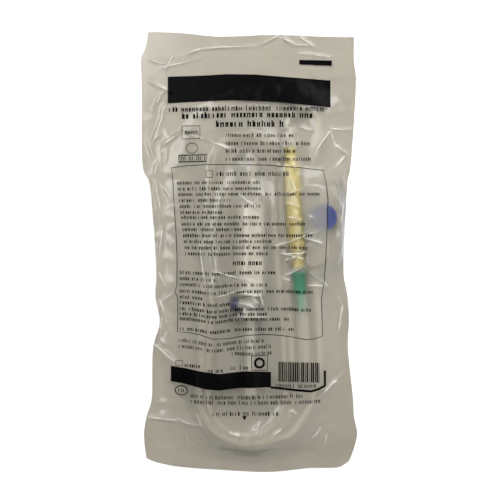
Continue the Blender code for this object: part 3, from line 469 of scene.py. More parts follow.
def spread_points(triangles: np.ndarray, step: float) -> np.ndarray:
    """Points spread over triangles no further apart than about a step.

    A triangle is cut into at least as many strips as its longest side has steps, and every
    crossing of the strips is a point: corner one plus shares of the two sides that leave it.

    Args:
        triangles: array of triangles by three corners by three coordinates.
        step: wanted distance between the points.

    Returns:
        Array of points, one a row.
    """
    sides = np.linalg.norm(triangles - np.roll(triangles, 1, axis=1), axis=2).max(axis=1)
    strips = np.clip(np.ceil(sides / step), 1, STRIP_COUNTS[-1]).astype(int)
    points = []
    for lower, limit in zip((0, *STRIP_COUNTS), STRIP_COUNTS):
        chosen = triangles[(strips > lower) & (strips <= limit)]
        if not len(chosen):
            continue
        first, second = np.meshgrid(np.arange(limit + 1), np.arange(limit + 1), indexing="ij")
        inside = first + second <= limit
        one = (first[inside] / limit)[None, :, None]
        two = (second[inside] / limit)[None, :, None]
        for part in np.array_split(chosen, max(1, len(chosen) * one.size // MOST_POINTS)):
            spread = (part[:, None, 0] + (part[:, 1] - part[:, 0])[:, None] * one
                      + (part[:, 2] - part[:, 0])[:, None] * two)
            points.append(spread.reshape(-1, 3))
    return np.vstack(points)


# Finishes

# The colour wanders between the shade and the colour over this middle part of the noise, and the
# roughness between these shares of its value
COLOUR_STOPS = (0.3, 0.7)
GLOSS_SHARES = (0.8, 1.25)
BUMP_STRENGTH = 0.6
COAT_ROUGHNESS = 0.1
# Red light travels furthest under the surface of latex and pale plastics
SUBSURFACE_REACH = (0.003, 0.0015, 0.0006)
MATERIALS: dict[str, bpy.types.Material] = {}


@dataclass(frozen=True)
class Finish:
    """A moulded or drawn finish with fine colour and gloss variation.

    The colour wanders a little between two shades over `grain` metres, and a fine bump of the
    same scale breaks the highlights, as on real moulded parts.

    Attributes:
        name: the material's name.
        colour: its lighter shade, in sRGB.
        shade: its darker shade, in sRGB.
        roughness: 0 glossy to 1 matt.
        grain: size of the patches, in metres.
        ior: index of refraction.
        metallic: 1 for a metal.
        alpha: share of the surface that is there, below 1 for a clear wall.
        transmission: share of the light that passes into the body.
        bump: depth of the fine relief, in metres.
        subsurface: share of the light that scatters under the surface.
        lamp_share: share of the lamps' light that each side lets through to what lies behind.
        coat: weight of a glossy top layer.
        mirror: brightness of the surface's own reflection.
    """

    name: str
    colour: str
    shade: str
    roughness: float
    grain: float = 0.004
    ior: float = 1.46
    metallic: float = 0.0
    alpha: float = 1.0
    transmission: float = 0.0
    bump: float = 0.00003
    subsurface: float = 0.0
    lamp_share: float = 0.0
    coat: float = 0.0
    mirror: float = 1.0

    def noise_and_gloss(self, tree: bpy.types.NodeTree, detail: float
                        ) -> tuple[bpy.types.NodeSocket, bpy.types.NodeSocket]:
        """Add the noise of the grain's size, and the roughness that wanders with it.

        Args:
            tree: the material's node tree.
            detail: how many finer layers the noise has.

        Returns:
            The noise's socket and the roughness's socket.
        """
        place = add_node(tree, "ShaderNodeTexCoord").outputs["Object"]
        noise = add_node(tree, "ShaderNodeTexNoise",
                         {"Vector": place, "Scale": 1 / self.grain, "Detail": detail}).outputs["Fac"]
        least, most = GLOSS_SHARES
        gloss = add_node(tree, "ShaderNodeMapRange",
                         {"Value": noise, "To Min": self.roughness * least,
                          "To Max": min(1.0, self.roughness * most)})
        return noise, gloss.outputs["Result"]

    def material(self) -> bpy.types.Material:
        """The finish's node material, made once.

        Returns:
            The material.
        """
        if self.name in MATERIALS:
            return MATERIALS[self.name]
        material, tree = new_tree(self.name)
        shader = tree.nodes["Principled BSDF"]
        noise, gloss = self.noise_and_gloss(tree, 4.0)
        colour = add_node(tree, "ShaderNodeValToRGB", {"Fac": noise})
        for element, place, tone in zip(colour.color_ramp.elements, COLOUR_STOPS,
                                        (self.shade, self.colour)):
            element.position = place
            element.color = linear(tone)
        relief = add_node(tree, "ShaderNodeBump",
                          {"Height": noise, "Distance": self.bump, "Strength": BUMP_STRENGTH})
        tree.links.new(colour.outputs["Color"], shader.inputs["Base Color"])
        tree.links.new(relief.outputs["Normal"], shader.inputs["Normal"])
        tree.links.new(gloss, shader.inputs["Roughness"])
        shader.inputs["Metallic"].default_value = self.metallic
        if self.metallic == 0:
            shader.inputs["IOR"].default_value = self.ior
        shader.inputs["Alpha"].default_value = self.alpha
        shader.inputs["Transmission Weight"].default_value = self.transmission
        if self.subsurface:
            shader.inputs["Subsurface Weight"].default_value = self.subsurface
            shader.inputs["Subsurface Radius"].default_value = SUBSURFACE_REACH
            shader.inputs["Subsurface Scale"].default_value = 1.0
        shader.inputs["Specular Tint"].default_value = (self.mirror, self.mirror, self.mirror, 1.0)
        shader.inputs["Coat Weight"].default_value = self.coat
        shader.inputs["Coat Roughness"].default_value = COAT_ROUGHNESS
        if self.lamp_share:
            self.pass_lamps(tree, shader)
        MATERIALS[self.name] = material
        return material

    def inner_material(self) -> bpy.types.Material:
        """The finish of a film's inner side, which scatters what passes and mirrors nothing.

        Returns:
            The material.
        """
        material, tree = new_tree(self.name + "_inner")
        tree.nodes.remove(tree.nodes["Principled BSDF"])
        _, haze = self.noise_and_gloss(tree, 2.0)
        shader = add_node(tree, "ShaderNodeBsdfRefraction",
                          {"Color": linear(self.colour), "Roughness": haze, "IOR": self.ior})
        self.pass_lamps(tree, shader)
        return material

    def pass_lamps(self, tree: bpy.types.NodeTree, shader: bpy.types.Node) -> None:
        """Let a share of the lamps' light through each side, to what lies behind.

        Args:
            tree: the material's node tree.
            shader: what everything but the lamps' own rays meets.
        """
        shade = (self.lamp_share, self.lamp_share, self.lamp_share, 1.0)
        through = add_node(tree, "ShaderNodeBsdfTransparent", {"Color": shade})
        path = add_node(tree, "ShaderNodeLightPath")
        both = add_node(tree, "ShaderNodeMixShader", {0: path.outputs["Is Shadow Ray"],
                                                      1: shader.outputs[0],
                                                      2: through.outputs[0]})
        tree.links.new(both.outputs[0], tree.nodes["Material Output"].inputs["Surface"])


# Blown low-density polyethylene film. It scatters light that passes, so what touches it shows
# sharply and what lies deeper is blurred. The rough body with little mirroring stands for that
# haze, and the coat is the smooth film's own gloss. The haze varies over about a centimetre
FRONT_FILM = Finish("polyethylene_film_front", "#FDFBF6", "#F8F5EE", 0.47, grain=0.012, ior=1.34,
                    alpha=0.95, transmission=0.975, bump=0.00006, lamp_share=0.72, coat=0.8,
                    mirror=0.15)
# Painted highlight: the same film along a hard crease, coloured white and nearly opaque to stand for the
# glint that the crease catches
CREASE_HIGHLIGHT_FINISH = Finish("polyethylene_film_crease_painted_highlight", "#F4F2EC", "#ECE9E2", 0.3, grain=0.004, ior=1.51,
                       alpha=0.8)
# The same blown film under the contents, with painted shade: it is coloured a darker warm grey than the
# clear film, for the little light that reaches it under the contents
BACK_FILM_PAINTED_SHADE = Finish("polyethylene_film_back_painted_shade", "#A09D96", "#97948D", 0.35, grain=0.015, ior=1.51,
                   alpha=0.9, bump=0.00004)
# Flexographic printing ink, pressed thinly onto the film: nearly black and low in gloss
INK = Finish("flexographic_ink", "#0A0909", "#060505", 0.25, grain=0.002, ior=1.12, bump=0.00002)
# Extruded plasticised vinyl: the wall passes most light and scatters a little, so it is pale
VINYL = Finish("plasticised_vinyl", "#D2CEC4", "#C8C4BA", 0.25, grain=0.01, ior=1.53,
               alpha=0.14, bump=0.00001)
# Injection-moulded clear styrene: a glossy wall with hardly any body colour
CLEAR_SHELL = Finish("clear_moulded_plastic", "#EFECE4", "#E6E3DA", 0.20, grain=0.01, ior=1.52,
                     alpha=0.09, bump=0.00001)
# Moulded soft vinyl of the chamber: clear too, but cloudier where walls lie over each other
CHAMBER_SHELL = Finish("chamber_soft_vinyl", "#EFECE4", "#E6E3DA", 0.20, grain=0.01, ior=1.53,
                       alpha=0.21, bump=0.00001)
# Injection-moulded pale grey ABS: opaque, with a satin face that is soft at the edges
GREY_ABS = Finish("grey_abs", "#ABABA6", "#9F9F9A", 0.42, ior=1.52, subsurface=0.15)
# Injection-moulded natural polyethylene: milky, so what is in it shows as a tint
MILKY_PE = Finish("natural_polyethylene", "#BDBBB4", "#B1AFA8", 0.22, ior=1.51, alpha=0.22,
                  bump=0.00001)
# Injection-moulded ABS in a strong blue, and polyethylene in a dark violet blue, both glossy
BLUE_ABS = Finish("blue_abs", "#042E8A", "#032672", 0.15, ior=1.52, bump=0.00001)
VIOLET_PE = Finish("violet_blue_polyethylene", "#10184E", "#0C123E", 0.2, ior=1.51, bump=0.00001)
# Injection-moulded green polypropylene: satin, and lit a little from inside
GREEN_PP = Finish("green_polypropylene", "#168262", "#106E52", 0.35, ior=1.49, subsurface=0.1)
# Dipped natural latex: smooth, and warm where light scatters under its skin
AMBER_LATEX = Finish("amber_latex", "#B4AA72", "#A79D64", 0.3, grain=0.003, ior=1.52,
                     subsurface=0.3)
# Drawn stainless steel. Its draw marks are finer than a pixel, so 2 mm patches stand for them
STEEL = Finish("drawn_stainless_steel", "#C6C7C9", "#B2B3B5", 0.22, grain=0.002, metallic=1.0)
# Nonwoven filter mat. Its fibres are far finer than a pixel, so 0.6 mm tufts stand for them
FILTER = Finish("filter_nonwoven", "#EDECE8", "#DCDBD6", 0.85, grain=0.0006, bump=0.0001)


# Pouch

def edge_curve(stations: np.ndarray, places: np.ndarray, wanted: np.ndarray) -> np.ndarray:
    """Smooth values of an edge between a few stations.

    Args:
        stations: where the values are known.
        places: the values there.
        wanted: where they are asked for.

    Returns:
        Array of a value for each wanted place.
    """
    knots = np.column_stack([stations, places, np.zeros(len(stations))])
    fine = smooth_route(knots, EDGE_SPACING)
    order = np.argsort(fine[:, 0])
    return np.interp(wanted, fine[order, 0], fine[order, 1])


def film_outline(across: np.ndarray, along: np.ndarray) -> tuple[np.ndarray, np.ndarray]:
    """X and Y of the film, as in the model.

    The sides are pulled in and the ends dip by a few millimetres, read from smooth curves between
    stations.

    Args:
        across: shares from 0 at the left side to 1 at the right.
        along: shares from 0 at the foot to 1 at the head.

    Returns:
        Arrays of X and of Y.
    """
    half = POUCH_WIDTH / 2
    height = (along - 0.5) * POUCH_LENGTH
    stations = (np.array(SIDE_STATIONS) - 0.5) * POUCH_LENGTH
    left = -half + edge_curve(stations, np.array(LEFT_PULL), height)
    right = half - edge_curve(stations, np.array(RIGHT_PULL), height)
    ends = np.array(END_STATIONS)
    foot = edge_curve(ends, np.array(FOOT_DIP), across) * np.clip(1 - along * END_FADE, 0, 1)
    head = edge_curve(ends, np.array(HEAD_DIP), across) * np.clip(along * END_FADE - (END_FADE - 1), 0, 1)
    return left + (right - left) * across, height + (foot - head)


class Fold(NamedTuple):
    """A fold of the front film.

    Attributes:
        start: photograph place of one end.
        end: photograph place of the other end.
        rise: height of the ridge, in millimetres.
        half_width: from the ridge to its foot, in millimetres.
    """

    start: tuple[float, float]
    end: tuple[float, float]
    rise: float
    half_width: float


# Each fold's start across and down, end across and down, height and half width
FOLDS = [Fold((row[0], row[1]), (row[2], row[3]), row[4], row[5]) for row in (
    # Round the head
    (187, 54, 200, 49, 1.4, 1.4), (200, 49, 230, 47, 1.2, 1.3), (230, 47, 258, 46, 1.0, 1.3),
    (258, 46, 277, 36, 1.3, 1.4), (282, 37, 294, 45, 1.2, 1.3), (294, 45, 308, 45, 0.9, 1.2),
    (297, 35, 314, 47, 1.0, 1.2), (300, 53, 329, 57, 0.8, 1.2), (150, 60, 172, 66, 1.3, 1.4),
    (172, 56, 165, 72, 1.1, 1.3), (148, 80, 170, 92, 1.2, 1.4), (160, 68, 203, 58, 1.0, 1.3),
    # Right shoulder, left shoulder
    (330, 131, 313, 155, 1.7, 1.4), (330, 131, 335, 145, 1.5, 1.3), (335, 145, 349, 155, 1.6, 1.4),
    (328, 129, 352, 130, 1.4, 1.4), (300, 127, 312, 132, 1.3, 1.7), (161, 146, 181, 132, 1.5, 1.6),
    (186, 133, 213, 142, 1.2, 1.3), (213, 142, 231, 151, 1.2, 1.3),
    # Over the bulb's lower end and the hub
    (275, 246, 321, 230, 1.3, 1.3), (280, 254, 308, 253, 1.2, 1.2), (286, 261, 308, 249, 1.2, 1.2),
    (300, 236, 322, 244, 1.2, 1.7), (282, 277, 308, 264, 1.6, 1.2), (282, 277, 292, 282, 1.2, 1.2),
    (309, 272, 327, 285, 1.5, 1.2), (308, 285, 327, 285, 1.3, 1.2),
    # Over the vent cap and the spike
    (216, 297, 258, 285, 1.4, 1.3), (213, 271, 258, 283, 1.2, 1.3), (251, 298, 259, 292, 1.2, 1.0),
    (259, 292, 263, 304, 1.2, 1.0), (251, 298, 263, 304, 1.1, 1.0),
    # Left margin and the foot
    (155, 180, 163, 225, 1.0, 1.4), (163, 225, 158, 262, 0.9, 1.3), (148, 417, 177, 420, 1.6, 1.7),
    (177, 420, 204, 426, 1.3, 1.4), (197, 415, 202, 425, 1.1, 1.2), (289, 409, 299, 413, 1.2, 1.3),
    (273, 434, 280, 429, 1.0, 1.2), (231, 432, 241, 436, 1.0, 1.3), (160, 300, 170, 330, 1.0, 1.6),
    (155, 345, 176, 362, 1.1, 1.6), (320, 395, 345, 372, 1.2, 1.7), (236, 300, 258, 308, 1.2, 1.6),
    # Over the chamber and the bulb
    (240, 196, 262, 212, 1.0, 1.7), (198, 232, 206, 292, 0.9, 1.2), (212, 238, 219, 288, 0.8, 1.0),
    (290, 179, 295, 191, 0.8, 1.0), (286, 203, 298, 208, 0.8, 1.0), (292, 158, 297, 171, 0.7, 1.0),
    (288, 217, 300, 221, 0.7, 1.0), (287, 195, 299, 190, 0.6, 1.0), (281, 253, 302, 259, 0.9, 1.1),
    (308, 216, 315, 219, 0.6, 1.0), (236, 292, 262, 296, 0.8, 1.1),
    # Both sides
    (345, 190, 338, 240, 1.1, 1.4), (344, 300, 338, 330, 1.0, 1.4), (165, 110, 150, 150, 1.1, 1.7),
    # Edges of both seals
    (144, 57, 355, 56, 0.12, 0.9), (144, 447, 355, 450, 0.15, 0.9),
)]

# Where small folds are strewn: how many, and between which places across and down
STREWN_FOLDS = ((30, (150, 171), (100, 345)), (7, (331, 345), (120, 400)), (7, (165, 335), (420, 442)))

# Links of the settling film: rows and columns between their two points, and stiffness
LINKS = ((0, 1, 1.0), (1, 0, 1.0), (1, 1, 0.5), (1, -1, 0.5), (0, 2, 0.25), (2, 0, 0.25))

# Passes that pull the film taut: every how many points of the grid, and how many rounds
TAUT_PASSES = ((4, 500), (2, 300), (1, 160))


@dataclass
class Pouch:
    """The sealed film pouch: a flat back sheet and a front sheet draped over the contents.

    Attributes:
        columns: cells across the settling film.
        rows: cells along it.
        back_cells: cells along and across the back sheet.
        raster: cell of the table of the contents' height.
        spread: distance between points on the contents, as a share of that cell.
        lift: clearance of the film from the contents.
        lift_part: what that clearance is divided by for the folded film.
        wheel_room: more clearance over the clamp's wheel.
        wheel_reach: cells by which the wheel is widened.
        wheel_shifts: places of the wheel that are read along its travel.
        sag: how strongly the taut film is drawn down.
        slack: share by which the film is longer than the taut one.
        least_slack: part of the slack that the middle has.
        patchiness: how much the slack changes from place to place.
        margin: distance from the middle at which the slack starts to grow, and over which.
        ruffle: greatest height of the first random ripples.
        ripple_blur: rounds that blur those ripples.
        patch_blur: rounds that blur the changes of the slack.
        press: how far the film falls in a round.
        rounds: rounds of settling.
        softening: rounds that even out the finest ripples.
        snap: distance at which points move onto a fold's line.
        fold_border: grid points along the edges that no fold moves.
        edge_cells: grid cells over which folds fade at the sides.
        end_fade: share of a fold's height that is lost at its ends.
        strewn_turn: degrees by which strewn folds turn from the pouch's length.
        strewn_half: half their length, in photograph pixels.
        strewn_rise: their height, in millimetres.
        strewn_width: their half width, in millimetres.
        seal_line: half the width of the line along which the top seal holds the film.
        crisp: angle in degrees past which an edge is crisp.
        seed: seed of the random draws.
        chart_step: cell of the table of the film's height.
        chart_reads: readings for each of the film's points, each way.
        chart: the film's height.
        places: the film's lower side.
    """

    columns: int = 76
    rows: int = 152
    back_cells: tuple[int, int] = (96, 48)
    raster: float = 0.0006
    spread: float = 0.7
    lift: float = 0.0003
    lift_part: int = 3
    wheel_room: float = 0.0004
    wheel_reach: int = 2
    wheel_shifts: int = 24
    sag: float = 12.0
    slack: float = 0.006
    least_slack: float = 0.3
    patchiness: float = 1.2
    margin: tuple[float, float] = (0.034, 0.016)
    ruffle: float = 0.0003
    ripple_blur: int = 3
    patch_blur: int = 40
    press: float = 0.000004
    rounds: int = 260
    softening: int = 8
    snap: float = 0.00045
    fold_border: int = 2
    edge_cells: int = 5
    end_fade: float = 0.7
    strewn_turn: float = 50.0
    strewn_half: tuple[float, float] = (3.0, 11.0)
    strewn_rise: tuple[float, float] = (0.3, 1.1)
    strewn_width: tuple[float, float] = (1.0, 1.9)
    seal_line: float = 0.0012
    crisp: float = 50.0
    seed: int = 7
    chart_step: float = 0.0004
    chart_reads: int = 4
    chart: np.ndarray = field(init=False)
    places: np.ndarray = field(init=False)

    def sheet_places(self, rows: int, columns: int) -> tuple[np.ndarray, np.ndarray]:
        """X and Y of a grid of points evenly spaced in shares across and along the pouch.

        Args:
            rows: cells along.
            columns: cells across.

        Returns:
            Arrays of X and of Y.
        """
        along, across = grid_shares(rows, columns)
        x, y = film_outline(across.ravel(), along.ravel())
        return x.reshape(across.shape), y.reshape(across.shape)

    def contents_raster(self) -> np.ndarray:
        """Height of the contents on a square raster.

        Points are spread over every piece of the contents, and each raster cell keeps the
        highest. The clamp's wheel is taken along its whole travel with some room round it, so
        that the film stays clear of it.

        Returns:
            Table of heights.
        """
        size = table_size(self.raster)
        still, wheel = np.zeros(size), np.zeros(size)
        axis = slide_axis()
        travel = np.linspace(*slide_joint()["range_m"], self.wheel_shifts)
        for name in frame["nodes"]:
            if name.startswith("pouch"):
                continue
            moving = name == "clamp_roller"
            points = spread_points(node_triangles(name), self.raster * self.spread)
            for shift in travel if moving else [0.0]:
                moved = points + axis * shift
                cells = table_places(moved[:, 0], moved[:, 1], self.raster)
                np.maximum.at(wheel if moving else still, whole_cells(*cells, size), moved[:, 2])
        wheel = widen(wheel, self.wheel_reach)
        return np.maximum(still, np.where(wheel > 0, wheel + self.wheel_room, 0))

    def floor_at(self, top: np.ndarray, x: np.ndarray, y: np.ndarray, reach: int,
                 lift: float) -> np.ndarray:
        """Lowest heights that the film may have.

        Args:
            top: height of the contents on the raster.
            x: X of the film's points.
            y: Y of the film's points.
            reach: raster cells round a point that still hold it up.
            lift: clearance from the contents.

        Returns:
            Array of the highest contents within the reach plus the clearance.
        """
        rows, columns = table_places(x, y, self.raster)
        held_up = widen(top, reach)[whole_cells(rows.round(), columns.round(), top.shape)]
        return np.maximum(held_up + lift, FLOOR)

    def taut(self, floor: np.ndarray, fixed: np.ndarray) -> np.ndarray:
        """Heights of a taut film over the contents.

        Each point takes the mean of its four neighbours, less a quarter of the sag times the
        spacing squared, but never less than the contents under it, over and over, first on
        every fourth point.

        Args:
            floor: lowest height of each point.
            fixed: which points lie at the pouch's floor.

        Returns:
            Array of heights.
        """
        spacing = POUCH_LENGTH / self.rows
        result = floor.copy()
        for stride, rounds in TAUT_PASSES:
            rows = np.arange(0, floor.shape[0], stride)
            columns = np.arange(0, floor.shape[1], stride)
            part, under, held = (table[np.ix_(rows, columns)] for table in (result, floor, fixed))
            for _ in range(rounds):
                part[1:-1, 1:-1] = neighbour_mean(part) - self.sag * (spacing * stride) ** 2 / 4
                part = np.where(held, FLOOR, np.maximum(part, under))
            grid_rows = np.interp(np.arange(floor.shape[0]), rows, np.arange(len(rows)))
            grid_columns = np.interp(np.arange(floor.shape[1]), columns, np.arange(len(columns)))
            result = bilinear(part, grid_rows, grid_columns)
        return result

    def soften(self, height: np.ndarray) -> np.ndarray:
        """Even out ripples as small as the grid: a point goes halfway to its neighbours' mean.

        Args:
            height: heights of the film's points.

        Returns:
            Array of softened heights.
        """
        height = height.copy()
        for _ in range(self.softening):
            height[1:-1, 1:-1] = (height[1:-1, 1:-1] + neighbour_mean(height)) / 2
        return height

    def strewn_folds(self) -> list[Fold]:
        """Short folds in the loose film beside the contents.

        Their middles are spread at random down the left margin, and fewer down the right one
        and across the foot. Most run along the pouch.

        Returns:
            The folds.
        """
        rng = np.random.default_rng(self.seed)
        middles = [(rng.uniform(*across), rng.uniform(*down)) for count, across, down in STREWN_FOLDS
                   for _ in range(count)]
        folds = []
        for middle in np.array(middles):
            lean = math.radians(rng.uniform(-self.strewn_turn, self.strewn_turn))
            shift = np.array([math.sin(lean), math.cos(lean)]) * rng.uniform(*self.strewn_half)
            folds.append(Fold(tuple(middle - shift), tuple(middle + shift),
                              rng.uniform(*self.strewn_rise), rng.uniform(*self.strewn_width)))
        return folds

    def crease(self, places: np.ndarray) -> np.ndarray:
        """Add the folds, as ridges with a straight sharp top that fade out at both ends.

        Points closer to a fold's line than the snap distance move onto it. The film then rises
        by the fold's height times one less the distance from the line over the half width.

        Args:
            places: the film's points.

        Returns:
            The film's points with the folds.
        """
        x, y = places[..., 0], places[..., 1]
        inside = np.zeros(x.shape, dtype=bool)
        inside[self.fold_border:-self.fold_border, self.fold_border:-self.fold_border] = True
        height = np.zeros_like(x)
        for start, end, rise, half_width in FOLDS + self.strewn_folds():
            first, last = photo_to_model(np.array([start, end]))
            along = last - first
            across = np.array([-along[1], along[0]]) / np.linalg.norm(along)
            share = ((x - first[0]) * along[0] + (y - first[1]) * along[1]) / (along @ along)
            off = (x - first[0]) * across[0] + (y - first[1]) * across[1]
            near = inside & (np.abs(off) < self.snap) & (share > 0) & (share < 1)
            x = np.where(near, x - off * across[0], x)
            y = np.where(near, y - off * across[1], y)
            held = np.clip(share, 0, 1)
            gap = np.hypot(x - first[0] - held * along[0], y - first[1] - held * along[1])
            fade = 1 - self.end_fade * np.abs(2 * held - 1) ** 3
            height = np.maximum(height, rise * MM * fade * np.clip(1 - gap / (half_width * MM), 0, 1))
        column = np.arange(x.shape[1])
        edge = np.clip(np.minimum(column, column[::-1]) / self.edge_cells, 0, 1)
        return np.dstack([x, y, places[..., 2] + height * edge[None, :]])

    def settle(self, places: np.ndarray, fixed: np.ndarray, top: np.ndarray) -> np.ndarray:
        """Let the film buckle into small folds.

        The film is longer than the taut surface by its slack. Neighbouring points are moved
        together or apart until they are at their own spacing again, while gravity presses the
        film down and the contents hold it up.

        Args:
            places: points of the taut film.
            fixed: which points stay.
            top: height of the contents on the raster.

        Returns:
            The settled points.
        """
        rng = np.random.default_rng(self.seed)
        free = np.where(fixed, 0.0, 1.0)[..., None]
        noise = blurred(rng.standard_normal(places.shape[:2]), self.ripple_blur)
        patches = blurred(rng.standard_normal(places.shape[:2]), self.patch_blur)
        margin = np.clip((np.abs(places[..., 0]) - self.margin[0]) / self.margin[1], 0, 1)
        stretch = 1 + (self.slack * (self.least_slack + margin)
                       * (1 + self.patchiness * patches / np.abs(patches).max()))
        rest = {}
        for step_row, step_column, _ in LINKS:
            first, second = pair_views(places, step_row, step_column)
            weight, _ = pair_views(stretch[..., None], step_row, step_column)
            rest[(step_row, step_column)] = np.linalg.norm(second - first, axis=2) * weight[..., 0]
        places = places + np.dstack([np.zeros_like(noise), np.zeros_like(noise),
                                     noise / np.abs(noise).max() * self.ruffle]) * free
        for turn in range(self.rounds):
            places[..., 2] -= self.press * free[..., 0]
            for step_row, step_column, stiff in LINKS:
                first, second = pair_views(places, step_row, step_column)
                free_one, free_two = pair_views(free, step_row, step_column)
                for parity in range(2 * max(step_row, abs(step_column))):
                    index = parity_slice(step_row, step_column, parity)
                    delta = second[index] - first[index]
                    length = np.linalg.norm(delta, axis=2, keepdims=True)
                    wanted = rest[(step_row, step_column)][index][..., None]
                    share = free_one[index] + free_two[index]
                    move = delta * (stiff * (length - wanted) / np.maximum(length * share, 1e-9))
                    first[index] += move * free_one[index]
                    second[index] -= move * free_two[index]
            if turn % 2 == 0:
                floor = self.floor_at(top, places[..., 0], places[..., 1], 1, self.lift)
                places[..., 2] = np.where(fixed, places[..., 2], np.maximum(places[..., 2], floor))
        return places

    def drape(self) -> None:
        """Work out the front film's places on a grid twice as fine as the settling one."""
        x, y = self.sheet_places(self.rows, self.columns)
        top = self.contents_raster()
        floor = self.floor_at(top, x, y, 2, self.lift)
        seal_foot = POUCH_LENGTH / 2 - TOP_SEAL
        bottom = y < BOTTOM_SEAL - POUCH_LENGTH / 2
        edge = np.zeros_like(bottom)
        edge[[0, -1], :] = True
        edge[:, [0, -1]] = True
        height = self.taut(floor, (y > seal_foot) | bottom | edge)
        places = np.dstack([x, y, height])
        held = edge | (np.abs(y - seal_foot) < self.seal_line) | bottom
        places = self.settle(places, held, top)
        rows = np.linspace(0, self.rows, self.rows * 2 + 1)
        columns = np.linspace(0, self.columns, self.columns * 2 + 1)
        fine = np.dstack([bicubic(places[..., axis], rows, columns) for axis in range(3)])
        fine[..., 2] = self.soften(fine[..., 2])
        fine = self.crease(fine)
        floor = self.floor_at(top, fine[..., 0], fine[..., 1], 0, self.lift / self.lift_part)
        fine[..., 2] = np.maximum(fine[..., 2], floor)
        fine[[0, -1], :, 2] = FLOOR
        fine[:, [0, -1], 2] = FLOOR
        self.places = fine

    def shell(self, name: str, places: np.ndarray, finish: Finish) -> bpy.types.Object:
        """A closed thin sheet: the upper side is the lower one moved out along its normals.

        Args:
            name: the piece's name.
            places: grid of points of the lower side.
            finish: the film's finish.

        Returns:
            The piece.
        """
        rows, columns = places.shape[:2]
        normal = np.cross(np.gradient(places, axis=1), np.gradient(places, axis=0))
        normal /= np.linalg.norm(normal, axis=2, keepdims=True)
        upper = places + normal * FILM_THICKNESS
        faces = grid_faces(rows, columns)
        count = rows * columns
        index = np.arange(count).reshape(rows, columns)
        rim = np.concatenate([index[0, :], index[1:, -1], index[-1, -2::-1], index[-2:0:-1, 0]])
        after = np.roll(rim, -1)
        sides = np.stack([rim, after, after + count, rim + count], axis=1)
        mesh = make_mesh(name, np.vstack([places.reshape(-1, 3), upper.reshape(-1, 3)]),
                         np.vstack([faces[:, ::-1], faces + count, sides]))
        piece = link_object(name, mesh, "root", finish.material())
        if finish.lamp_share:
            mesh.materials.append(finish.inner_material())
            inner = np.arange(len(mesh.polygons)) < len(faces)
            mesh.polygons.foreach_set("material_index", inner.astype(np.int32))
        mesh.set_sharp_from_angle(angle=math.radians(self.crisp))
        return piece

    def chart_film(self) -> None:
        """Chart the front film's height on a square table.

        The film is read at several times its own points each way, and each cell of the table
        keeps the highest.
        """
        rows, columns = (np.linspace(0, count - 1, (count - 1) * self.chart_reads + 1)
                         for count in self.places.shape[:2])
        dense = np.dstack([bilinear(self.places[..., axis], rows, columns)
                           for axis in range(3)]).reshape(-1, 3)
        size = table_size(self.chart_step)
        self.chart = np.full(size, FLOOR)
        row, column = table_places(dense[:, 0], dense[:, 1], self.chart_step)
        np.maximum.at(self.chart, whole_cells(row.round(), column.round(), size), dense[:, 2])

    def surface(self, x: np.ndarray, y: np.ndarray) -> np.ndarray:
        """Height of the front film's upper side at any places, read from its chart."""
        return sample(self.chart, *table_places(x, y, self.chart_step)) + FILM_THICKNESS

    def build(self) -> list[bpy.types.Object]:
        """Returns:
            The front and the back film.
        """
        self.drape()
        self.chart_film()
        front = self.shell("front_film", self.places, FRONT_FILM)
        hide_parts("pouch_front_film")
        x, y = self.sheet_places(*self.back_cells)
        # The back film's finish carries painted shade: a darker warm grey for the little light under the
        # contents
        back = self.shell("back_film", np.dstack([x, y, np.zeros_like(x)]), BACK_FILM_PAINTED_SHADE)
        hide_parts("pouch_back_film")
        LOG.info("front film: highest %.1f mm", self.places[..., 2].max() / MM)
        return [front, back]


# Tubing

COIL_TOP = np.array([-0.0023, 0.0490])
COIL_BOTTOM = np.array([-0.0012, -0.0837])
COIL_TOP_RADIUS = 0.0218
COIL_BOTTOM_RADIUS = 0.0296
LEAD_ROUTE = [(0.0006, 0.0323, 0.00895), (0.0006, 0.0409, 0.00895), (0.0012, 0.0430, 0.0085),
              (0.0030, 0.0502, 0.0076), (0.0012, 0.0568, 0.0069), (-0.0042, 0.0590, 0.0066),
              (-0.0098, 0.0560, 0.0066), (-0.0124, 0.0490, 0.0066), (-0.0128, 0.0400, 0.0066),
              (-0.0132, 0.0310, 0.0066)]
TAIL_ROUTE = [(0.0215, -0.1065, 0.0070), (0.0292, -0.0990, 0.0064), (0.0362, -0.0870, 0.0056),
              (0.0400, -0.0740, 0.0050), (0.0415, -0.0600, 0.0050), (0.0412, -0.0450, 0.0056),
              (0.0400, -0.0300, 0.0064)]
LOOP_ROUTE = [(0.0358, 0.0500, 0.0066), (0.0395, 0.0590, 0.0060), (0.0410, 0.0690, 0.0056),
              (0.0390, 0.0785, 0.0054), (0.0325, 0.0840, 0.0053), (0.0255, 0.0815, 0.0053)]
# Turns of the coil between which the tube changes its lane or its level
LANE_TURNS = (0.0, 0.8, 1.0, 1.6, 1.8, 2.4, 2.6, 4.0)


# Distance of the bulb's connector's middle from the top of the bulb's body
CONNECTOR_MIDDLE = 0.0112


def needle_axis_point(along: float) -> np.ndarray:
    """A place on the needle line's axis.

    Args:
        along: distance along the axis from the top of the bulb's body.

    Returns:
        X, Y and Z.
    """
    low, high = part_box("bulb_inlet_connector")
    return (np.array(low) + np.array(high)) / 2 + slide_axis() * (along - CONNECTOR_MIDDLE)


